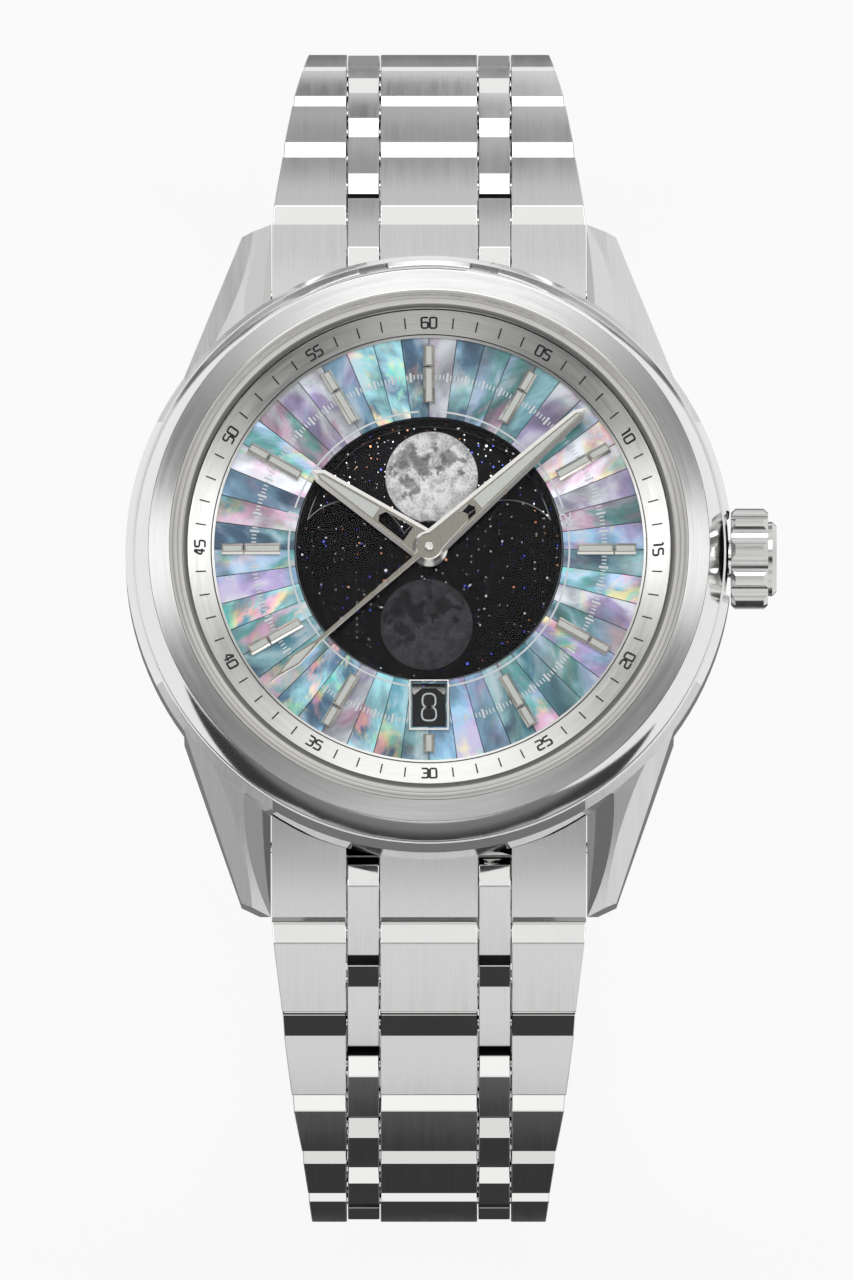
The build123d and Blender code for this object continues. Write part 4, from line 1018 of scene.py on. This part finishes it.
def crescent_loop():
    tip, root = circles_meet(crescent_radius), circles_meet(hub_cover_radius)
    lobe = [atan2(y - lobe_centre[1], x - lobe_centre[0]) for x, y in (tip, root)]
    right = arc_points(lobe_centre, lobe_radius, *lobe, 48)
    hub_start = atan2(root[1], root[0])
    hub = arc_points((0, 0), hub_cover_radius, hub_start, pi - hub_start, 24)[1:-1]
    left = [(-x, y) for x, y in reversed(right)]
    tip_turn = atan2(tip[1], tip[0])
    sky = arc_points((0, 0), crescent_radius, pi - tip_turn, tip_turn, 96)[1:-1]
    return right + hub + left + sky


smoked = glass("smoked_glass", (0.25, 0.25, 0.265), 1.17)
# The edge's pale and dark tones are painted highlight and painted shade.
painted_highlight_edge = plain("ground_glass_edge_painted_highlight", frosted_tone, 0.25, 0.1)
cover_loops = [circle_loop(cover_radius, 160), circle_loop(cover_bore), crescent_loop()]
cover = loop_curve("moon_cover_glass", cover_loops, cover_low, cover_high, cover_bevel)
finish_piece(cover, "case", ("moon_cover",), (smoked, painted_highlight_edge))

# Hands.
# Steel blanks with bevelled edges, an open slot by the hub and a window filled
# with luminous paint; the seconds hand is thin, with a light and a tail.
hand_flat = brushed(
    "hand_satin", brushed_straight, None, (0.42, 0.395, 0.34), 0.3, streak=0.08, bump=0.08, stretch=0.0
)
hand_edge = polished("hand_polish", (0.84, 0.82, 0.78), 0.07)
hand_tip, hand_rail, slot_rail = 0.75, 0.4, 0.44
light_sink = 0.03
hand_bevel, hand_rim = 0.27, 0.05


def turn_piece(made, turn):
    made.data.transform(Matrix.Rotation(-radians(turn), 4, "Z"))
    return made


def baton_outline(length, widths, hub):
    """The hand's outer loop: tapering sides, a pointed tip and the round hub."""
    base, tip = widths[0] / 2, widths[1] / 2
    slope = (tip - base) / (length - hand_tip)
    meet = sqrt(hub**2 - base**2) if hub > base else 0.0
    start = atan2(meet, base + slope * meet)
    arc = [start - (pi + 2 * start) * i / 40 for i in range(41)]
    round_end = [(hub * cos(a), hub * sin(a)) for a in arc]
    return [(-tip, length - hand_tip), (0, length), (tip, length - hand_tip)] + round_end


def slot_loop(length, widths, low, high, rail, pointed):
    """A slot a rail's width inside the hand's sides, with a pointed far end."""
    slope = (widths[1] - widths[0]) / 2 / (length - hand_tip)
    near, far = (widths[0] / 2 + slope * y - rail for y in (low, high))
    return [(-near, low), (near, low), (far, high - pointed), (0, high), (-far, high - pointed)]


def inset_loop(loop, inset):
    """The loop moved inward by the same distance all round."""
    area = sum(x0 * y1 - x1 * y0 for (x0, y0), (x1, y1) in zip(loop, loop[1:] + loop[:1]))
    inward = inset if area > 0 else -inset
    moved = []
    for before, here, after in zip(loop[-1:] + loop[:-1], loop, loop[1:] + loop[:1]):
        here = Vector(here)
        first, second = (here - Vector(before)).normalized(), (Vector(after) - here).normalized()
        middle = (Vector((-first.y, first.x)) + Vector((-second.y, second.x))).normalized()
        spread = max(0.35, middle.dot(Vector((-first.y, first.x))))
        moved.append(tuple(here + middle * inward / spread))
    return moved


def bevel_skirt(made, outer, inner, low, rim, high):
    """A sloping polished border round the plate, from the outer loop up to the inner one."""
    shape = bmesh.new()
    shape.from_mesh(made.data)
    levels = ((inner, low), (outer, low), (outer, rim), (inner, high))
    sides = skin(shape, [corners(shape, [(x, y, z) for x, y in loop]) for loop, z in levels])
    bmesh.ops.recalc_face_normals(shape, faces=sides)
    for face in sides:
        face.material_index = 1
    shape.to_mesh(made.data)
    shape.free()
    soften(made, 20)


# Each hand: its body, length, widths, slot, window, hub and bore radius, levels and turn.
hands = (
    ("hour_hand", "hour_pipe", 9.9, (2.3, 1.05), (1.75, 4.2), (4.45, 9.3), 1.3, 1.0, (0.4, 0.62), 304),
    ("minute_hand", "minute_arbor", 14.8, (2.0, 0.95), (1.9, 4.3), (4.6, 14.2), 1.15, 0.66, (0.8, 1.0), 48),
)
for name, body, length, widths, opening, window, hub, bore, level, turn in hands:
    low, high = dial_height + level[0], dial_height + level[1]
    light = slot_loop(length, widths, *window, hand_rail, 0.3)
    outer = baton_outline(length, widths, hub)
    inner = inset_loop(outer, hand_bevel)
    loops = [inner, circle_loop(bore), slot_loop(length, widths, *opening, slot_rail, 0.25), light]
    plate = loop_curve(name + "_plate", loops, low, high, 0.015)
    bevel_skirt(plate, outer, inner, low, low + hand_rim, high)
    finish_piece(turn_piece(plate, turn), body, (name,), (hand_flat, hand_edge))
    paint = loop_curve(name + "_light", [light], low + 0.02, high - light_sink, 0.01)
    finish_piece(turn_piece(paint, turn), body, (), (lume, lume))

second_low, second_high, second_turn = dial_height + 1.12, dial_height + 1.22, 229
needle = [(0.15, 0.6), (0.15, 10.1), (0.425, 12.3), (0.1, 14.0), (0.05, 14.9), (-0.05, 14.9), (-0.1, 14.0)]
needle += [(-0.425, 12.3), (-0.15, 10.1), (-0.15, 0.6)]
tail = [(0.93 * sin(a), 0.93 * cos(a)) for a in (-0.16 - 1.0 * i / 8 for i in range(9))]
tail += [(-0.45, -3.05)]
tail += [(0.45 * cos(a), -3.05 + 0.45 * sin(a)) for a in (pi + pi * i / 12 for i in range(1, 12))]
tail += [(0.45, -3.05)] + [(-x, y) for x, y in reversed(tail[:9])]
diamond = [(0, 10.5), (0.26, 12.25), (0, 13.6), (-0.26, 12.25)]
hub_profile = (
    (0, 11.63),
    (0, 11.66),
    (0.12, 11.66),
    (0.14, 11.7),
    (0.26, 11.7),
    (0.32, 11.64),
    (0.32, 11.46),
    (0.86, 11.46),
    (0.93, 11.39),
    (0.93, 11.2),
    (0.3, 11.2),
    (0.3, 11.63),
)
second_loops = [needle + tail, diamond, circle_loop(0.2, 24)]
second = loop_curve("second_hand_plate", second_loops, second_low, second_high, 0.03)
second = turn_piece(second, second_turn)
finish_piece(second, "seconds_arbor", ("second_hand",), (hand_flat, hand_edge))
second_light = loop_curve("second_hand_light", [diamond], second_low + 0.02, second_high - 0.01, 0.005)
second_light = turn_piece(second_light, second_turn)
finish_piece(second_light, "seconds_arbor", (), (lume, lume))
hub = turned_mesh("second_hand_hub", hub_profile, 64)
for face in hub.data.polygons:
    face.material_index = 0 if face.normal.z > 0.95 and hypot(*face.center[:2]) > 0.33 * MM else 1
finish_piece(hub, "seconds_arbor", (), (hand_flat, hand_edge))

# Crown.
# A steel grip with ten flutes and a stepped cap, screwed on the stem; it is
# polished, and the flutes between its lands are hollow ground.
dress(polished("crown_steel", (0.66, 0.655, 0.645), 0.15), "crown")

# End links.
# Solid steel pieces that fill the space between the lugs, on the spring bars;
# their curved tops are brushed along the bracelet and the rest is polished.
def end_link_tops(tree):
    """1 on the end links' curved tops."""
    nx, ny, nz = parts(add(tree, "ShaderNodeTexCoord")["Normal"])
    return (abs(nx) < 0.03) * (nz > 0.2)


dress(brushed("end_link_steel", brushed_straight, end_link_tops), "end_link_12", "end_link_6")

# Bracelet links.
# Each row is three solid steel pieces with two between them, on two pins. The
# tops are brushed along the bracelet; the sloping ends are polished. The faces
# inside the joints get a near-black steel, painted shade, on all but the first link.
lug_width = 22.12
link_pitch, link_thickness = 7.97, 3.0
barrel_share, facing_share, piece_share = 0.235, 0.354, 0.9
bevel_run, bevel_drop, end_bevel, under_bevel, bevel_heel = 1.15, 1.05, 0.3, 0.8, 0.1
centre_half, side_half, column_gap = 3.45, 5.75, 0.04
width_shares = (0.994, 0.927, 0.868, 0.805, 0.769, 0.746, 0.746, 0.746, 0.746)
first_pin = (22.3, 2.38)
slopes = {"12": (41, 51, 59.5, 69, 88, 113, 139, 166), "6": (42, 53, 69, 77, 84, 110, 139, 167)}
pin_radius, pin_sink = 0.5, 0.15
link_edge, top_roll = 0.08, 0.28


def link_tree():
    """From one piece's side face: five columns across, brushed tops and two pins."""
    tree, given, out = new_group(
        "Geometry",
        "bracelet_link",
        {
            "Geometry": "Geometry",
            "Pitch": link_pitch * MM,
            "Piece Length": piece_share * link_pitch * MM,
            "Row Start": facing_share * link_pitch * MM,
            "Between Start": -barrel_share * link_pitch * MM,
            "Centre Half Width": centre_half * MM,
            "Side Half Width": side_half * MM,
            "Gap": column_gap * MM,
            "Near Half Width": 11 * MM,
            "Far Half Width": 10 * MM,
            "Pin Radius": pin_radius * MM,
            "Pin Sink": pin_sink * MM,
            "Polished": "Material",
            "Brushed": "Material",
            "Joint Painted Shade": "Material",
        },
        {"Geometry": "Geometry"},
    )

    def node(kind, inputs=None):
        return add(tree, "GeometryNode" + kind, inputs)

    def join(*geometries):
        whole = node("JoinGeometry")
        for geometry in geometries:
            feed(whole.node.inputs[0], geometry)
        return whole[0]

    def moved(geometry, offset):
        return node("Transform", {"Geometry": geometry, "Translation": offset})[0]

    def column(start, low, high, taper=None):
        """The side face carried across, its far side pushed out along the taper if there is one."""
        side = moved(given["Geometry"], joined(start, 0, low))
        across = {"Mesh": side, "Offset": (0, 0, 1), "Offset Scale": high - low, "Individual": False}
        grow = node("ExtrudeMesh", across)
        walls = grow["Mesh"]
        if taper:
            share = (parts(node("InputPosition")[0])[0] - start) / given["Piece Length"]
            push = {"Geometry": walls, "Selection": grow["Top"], "Offset": joined(0, 0, share * taper)}
            walls = node("SetPosition", push)[0]
        both = join(node("FlipFaces", {0: side})[0], walls)
        return node("MergeByDistance", {"Geometry": both, "Distance": 0.001 * MM})[0]

    def mirrored(geometry):
        other = node("Transform", {"Geometry": geometry, "Scale": (1, 1, -1)})[0]
        return node("FlipFaces", {0: other})[0]

    def coated(geometry, material, where=True):
        return node("SetMaterial", {"Geometry": geometry, "Selection": where, "Material": given[material]})[0]

    gap, far_half = given["Gap"], given["Far Half Width"]
    centre = given["Centre Half Width"] - gap
    taper = far_half - given["Near Half Width"]
    outer = column(given["Row Start"], given["Side Half Width"] + gap, given["Near Half Width"], taper)
    between = column(given["Between Start"], given["Centre Half Width"] + gap, given["Side Half Width"] - gap)
    middle = column(given["Row Start"], centre * -1.0, centre)
    pieces = join(middle, outer, mirrored(outer), between, mirrored(between))
    reach = (far_half - given["Pin Sink"]) * 2.0
    pin = node("MeshCylinder", {"Vertices": 20, "Radius": given["Pin Radius"], "Depth": reach})[0]
    pins = join(*[moved(pin, joined(given["Pitch"] * share, 0, 0)) for share in (0.5, 1.0)])
    smooth = node("SetShadeSmooth", {0: join(pins, pieces)})[0]
    solid = node("RealizeInstances", {0: smooth})[0]
    nx, ny, nz = (abs(part) for part in parts(node("InputNormal")[0]))
    within = abs(parts(node("InputPosition")[0])[2]) < far_half * 0.9
    # Faces inside the joints, between the columns and at the row ends, get painted shade.
    hidden = calc("MAXIMUM", within * (nz > 0.93), nx > 0.95)
    brushed_parts = coated(coated(solid, "Polished"), "Brushed", calc("MAXIMUM", ny, nz) > 0.93)
    feed(out[0], coated(brushed_parts, "Joint Painted Shade", hidden))
    return tree


def side_face(name):
    """The side view of one bracelet piece, a single face seen from +Z."""
    end, top = piece_share * link_pitch, link_thickness / 2
    crown = [
        (bevel_run + (end - end_bevel - bevel_run) * share, top - top_roll * max(0, share - 0.3) ** 2)
        for share in (0, 0.3, 0.45, 0.6, 0.75, 0.88, 1)
    ]
    outline = (
        (0, bevel_drop - top - bevel_heel),
        (0, top - bevel_drop),
        *crown,
        (end, crown[-1][1] - end_bevel),
        (end, end_bevel - top),
        (end - end_bevel, -top),
        (under_bevel, -top),
    )
    shape = bmesh.new()
    shape.faces.new(corners(shape, [(x, y, 0) for x, y in reversed(outline)]))
    return mesh_object(name, shape, 0)


bracelet_link = link_tree()
link_brushed = brushed("link_brushed", brushed_straight)
# Near-black steel for the faces inside the joints: painted shade where the gaps are dark.
joint_painted_shade = plain("joint_painted_shade", (0.05, 0.05, 0.052), 0.4, 0.2, metallic=1.0)
for half, turns in slopes.items():
    side = 1 if half == "12" else -1
    pin_y, pin_z = first_pin
    for i, slope in enumerate(turns):
        s, c = sin(radians(slope)), cos(radians(slope))
        near, far = (share * lug_width / 2 * MM for share in width_shares[i : i + 2])
        joint = joint_painted_shade if i else polished_steel
        materials = {"Polished": polished_steel, "Brushed": link_brushed, "Joint Painted Shade": joint}
        name = f"bracelet_link_{half}_{i + 1}"
        values = {"Near Half Width": near, "Far Half Width": far, **materials}
        made = grown(side_face(name), bracelet_link, values, link_edge)
        along, outward, across = Vector((0, side * c, -s)), Vector((0, side * s, c)), Vector((side, 0, 0))
        place = Matrix((along, outward, across)).transposed().to_4x4()
        place.translation = (0, side * pin_y * MM, pin_z * MM)
        made.data.transform(place)
        finish_piece(made, f"link_{half}_{i + 1}", (f"link_{half}_{i + 1}",))
        pin_y += link_pitch * c
        pin_z -= link_pitch * s

# Folding clasp.
# A brushed steel cover with two side walls, two polished blades that fold
# under it, and two polished push buttons in the walls.
dress(brushed("clasp_steel", brushed_straight), "clasp_cover")
dress(polished_steel, "clasp_long_blade", "clasp_short_blade", "clasp_button_right", "clasp_button_left")

# Floor.
# A pale plain surface just under the clasp; it shows white to the camera and in
# the metal, and still takes the light and shade of the watch.
floor_height, floor_size = -49.7, 4000.0
floor = boxes("floor", ((-floor_size, -floor_size, floor_height - 1), (floor_size, floor_size, floor_height)))
floor_paint, tree, look = new_material("floor_paint", base_color=(0.82, 0.82, 0.82), roughness=0.9)
rays = add(tree, "ShaderNodeLightPath")
seen = calc("MAXIMUM", rays["Is Camera Ray"], rays["Is Glossy Ray"])
seen = calc("MAXIMUM", seen, rays["Is Transmission Ray"])
white = add(tree, "ShaderNodeEmission", {"Color": (1, 1, 1), "Strength": 1.0})[0]
blend_out(tree, seen * 0.9, Outputs(tree.nodes["Principled BSDF"])[0], white)
floor.data.materials.append(floor_paint)

# Studio light.
# A white tent: the world is bright all round, with a few darker flags and two
# bright patches, and three soft lamps give the metal its shape.
tent_tones = (
    (0.0, 0.9), (0.1, 0.72), (0.25, 1.0), (0.45, 0.95), (0.62, 0.6),
    (0.8, 0.38), (0.93, 0.3), (0.972, 0.5), (0.982, 0.95), (1.0, 0.95),
)
# Each flag: its compass turn and height in degrees, its reach, and how dark it
# is; below 0 it is a bright patch.
flags = (
    (33, 61, 15, 0.8), (-38, 57, 17, 0.9), (97, 72, 12, 0.9), (-93, 71, 12, 0.95), (60, 22, 24, 0.7),
    (-70, 25, 26, 0.8), (140, 35, 18, 0.8), (-140, 35, 18, 0.8), (180, 79.5, 8, 0.95), (180, 56, 12, -1.4),
    (112, 57, 20, 0.9), (-112, 57, 20, 0.9), (-133, 4, 24, 0.62), (133, 0, 20, -0.6),
)
world = bpy.data.worlds.new("studio")
bpy.context.scene.world = world
world.use_nodes = True
tree = world.node_tree
way = add(tree, "ShaderNodeTexCoord")["Generated"]
tone = ramp(parts(way)[2], [(spot, (tone,) * 3) for spot, tone in tent_tones])
for turn, height, reach, dark in flags:
    turn, height, reach = radians(turn), radians(height), radians(reach)
    near = vector("DOT_PRODUCT", way, (sin(turn) * cos(height), cos(turn) * cos(height), sin(height)))
    tone = vector("SCALE", tone, span(near, cos(reach * 1.25), cos(reach * 0.6), 1.0, 1.0 - dark))
tone = mix(add(tree, "ShaderNodeLightPath")["Is Camera Ray"], tone, (1, 1, 1))
feed(tree.nodes["Background"].inputs["Color"], tone)

# Each lamp: its place in metres, its size and its power. It is aimed at the dial.
lamps = (
    ("key_lamp", (0.0, 0.42, 0.62), 0.4, 0.95),
    ("fill_lamp", (0.5, 0.1, 0.55), 0.25, 0.85),
    ("left_lamp", (-0.5, 0.1, 0.55), 0.25, 1.0),
)
for name, place, size, power in lamps:
    data = bpy.data.lights.new(name, "AREA")
    data.size = size
    data.energy = power
    lamp = new_object(name, data)
    lamp.location = place
    lamp.rotation_euler = (-Vector(place)).to_track_quat("-Z", "Y").to_euler()

# Dark cards that lie round the watch, seen only by the polished metal: each
# card's corners, and its tone at its far and its near end.
cards = (
    ("card_near", (-110, -145), (75, -42), 0.2, 0.045),
    ("card_under", (-40, -41), (40, 62), 0.2, 0.2),
    ("card_far", (-300, 112), (70, 520), 0.33, 0.33),
    ("card_top", (-62, 74), (8, 100), 0.08, 0.08),
)
for name, low, high, far_tone, near_tone in cards:
    card = boxes(name, ((*low, floor_height + 0.2), (*high, floor_height + 0.5)))
    paint, tree, look = new_material(name + "_paint", roughness=1.0)
    tone = span(parts(place_in(tree))[1], -105 * MM, -66 * MM, far_tone, near_tone)
    feed(tree.nodes["Material Output"].inputs[0], add(tree, "ShaderNodeEmission", {"Strength": tone})[0])
    card.data.materials.append(paint)
    card.visible_camera = False
    card.visible_diffuse = False
    card.visible_transmission = False
    card.visible_shadow = False

# Camera.
# Almost straight over the dial and far off with a long lens, as the watch was
# photographed.
camera_height, camera_distance, frame_height, sensor_height = 79.5, 3.0, 89.3, 24.0
aim = Vector((-0.174, -6.42, dial_height)) * MM
data = bpy.data.cameras.new("camera")
camera = new_object("camera", data)
outward = Vector((0, -cos(radians(camera_height)), sin(radians(camera_height))))
camera.location = aim + outward * camera_distance
camera.rotation_euler = (-outward).to_track_quat("-Z", "Y").to_euler()
data.sensor_fit = "VERTICAL"
data.sensor_height = sensor_height
data.lens = sensor_height * camera_distance / (frame_height * MM)
data.clip_end = 20.0
bpy.context.scene.camera = camera
bpy.context.scene.view_settings.view_transform = "Standard"
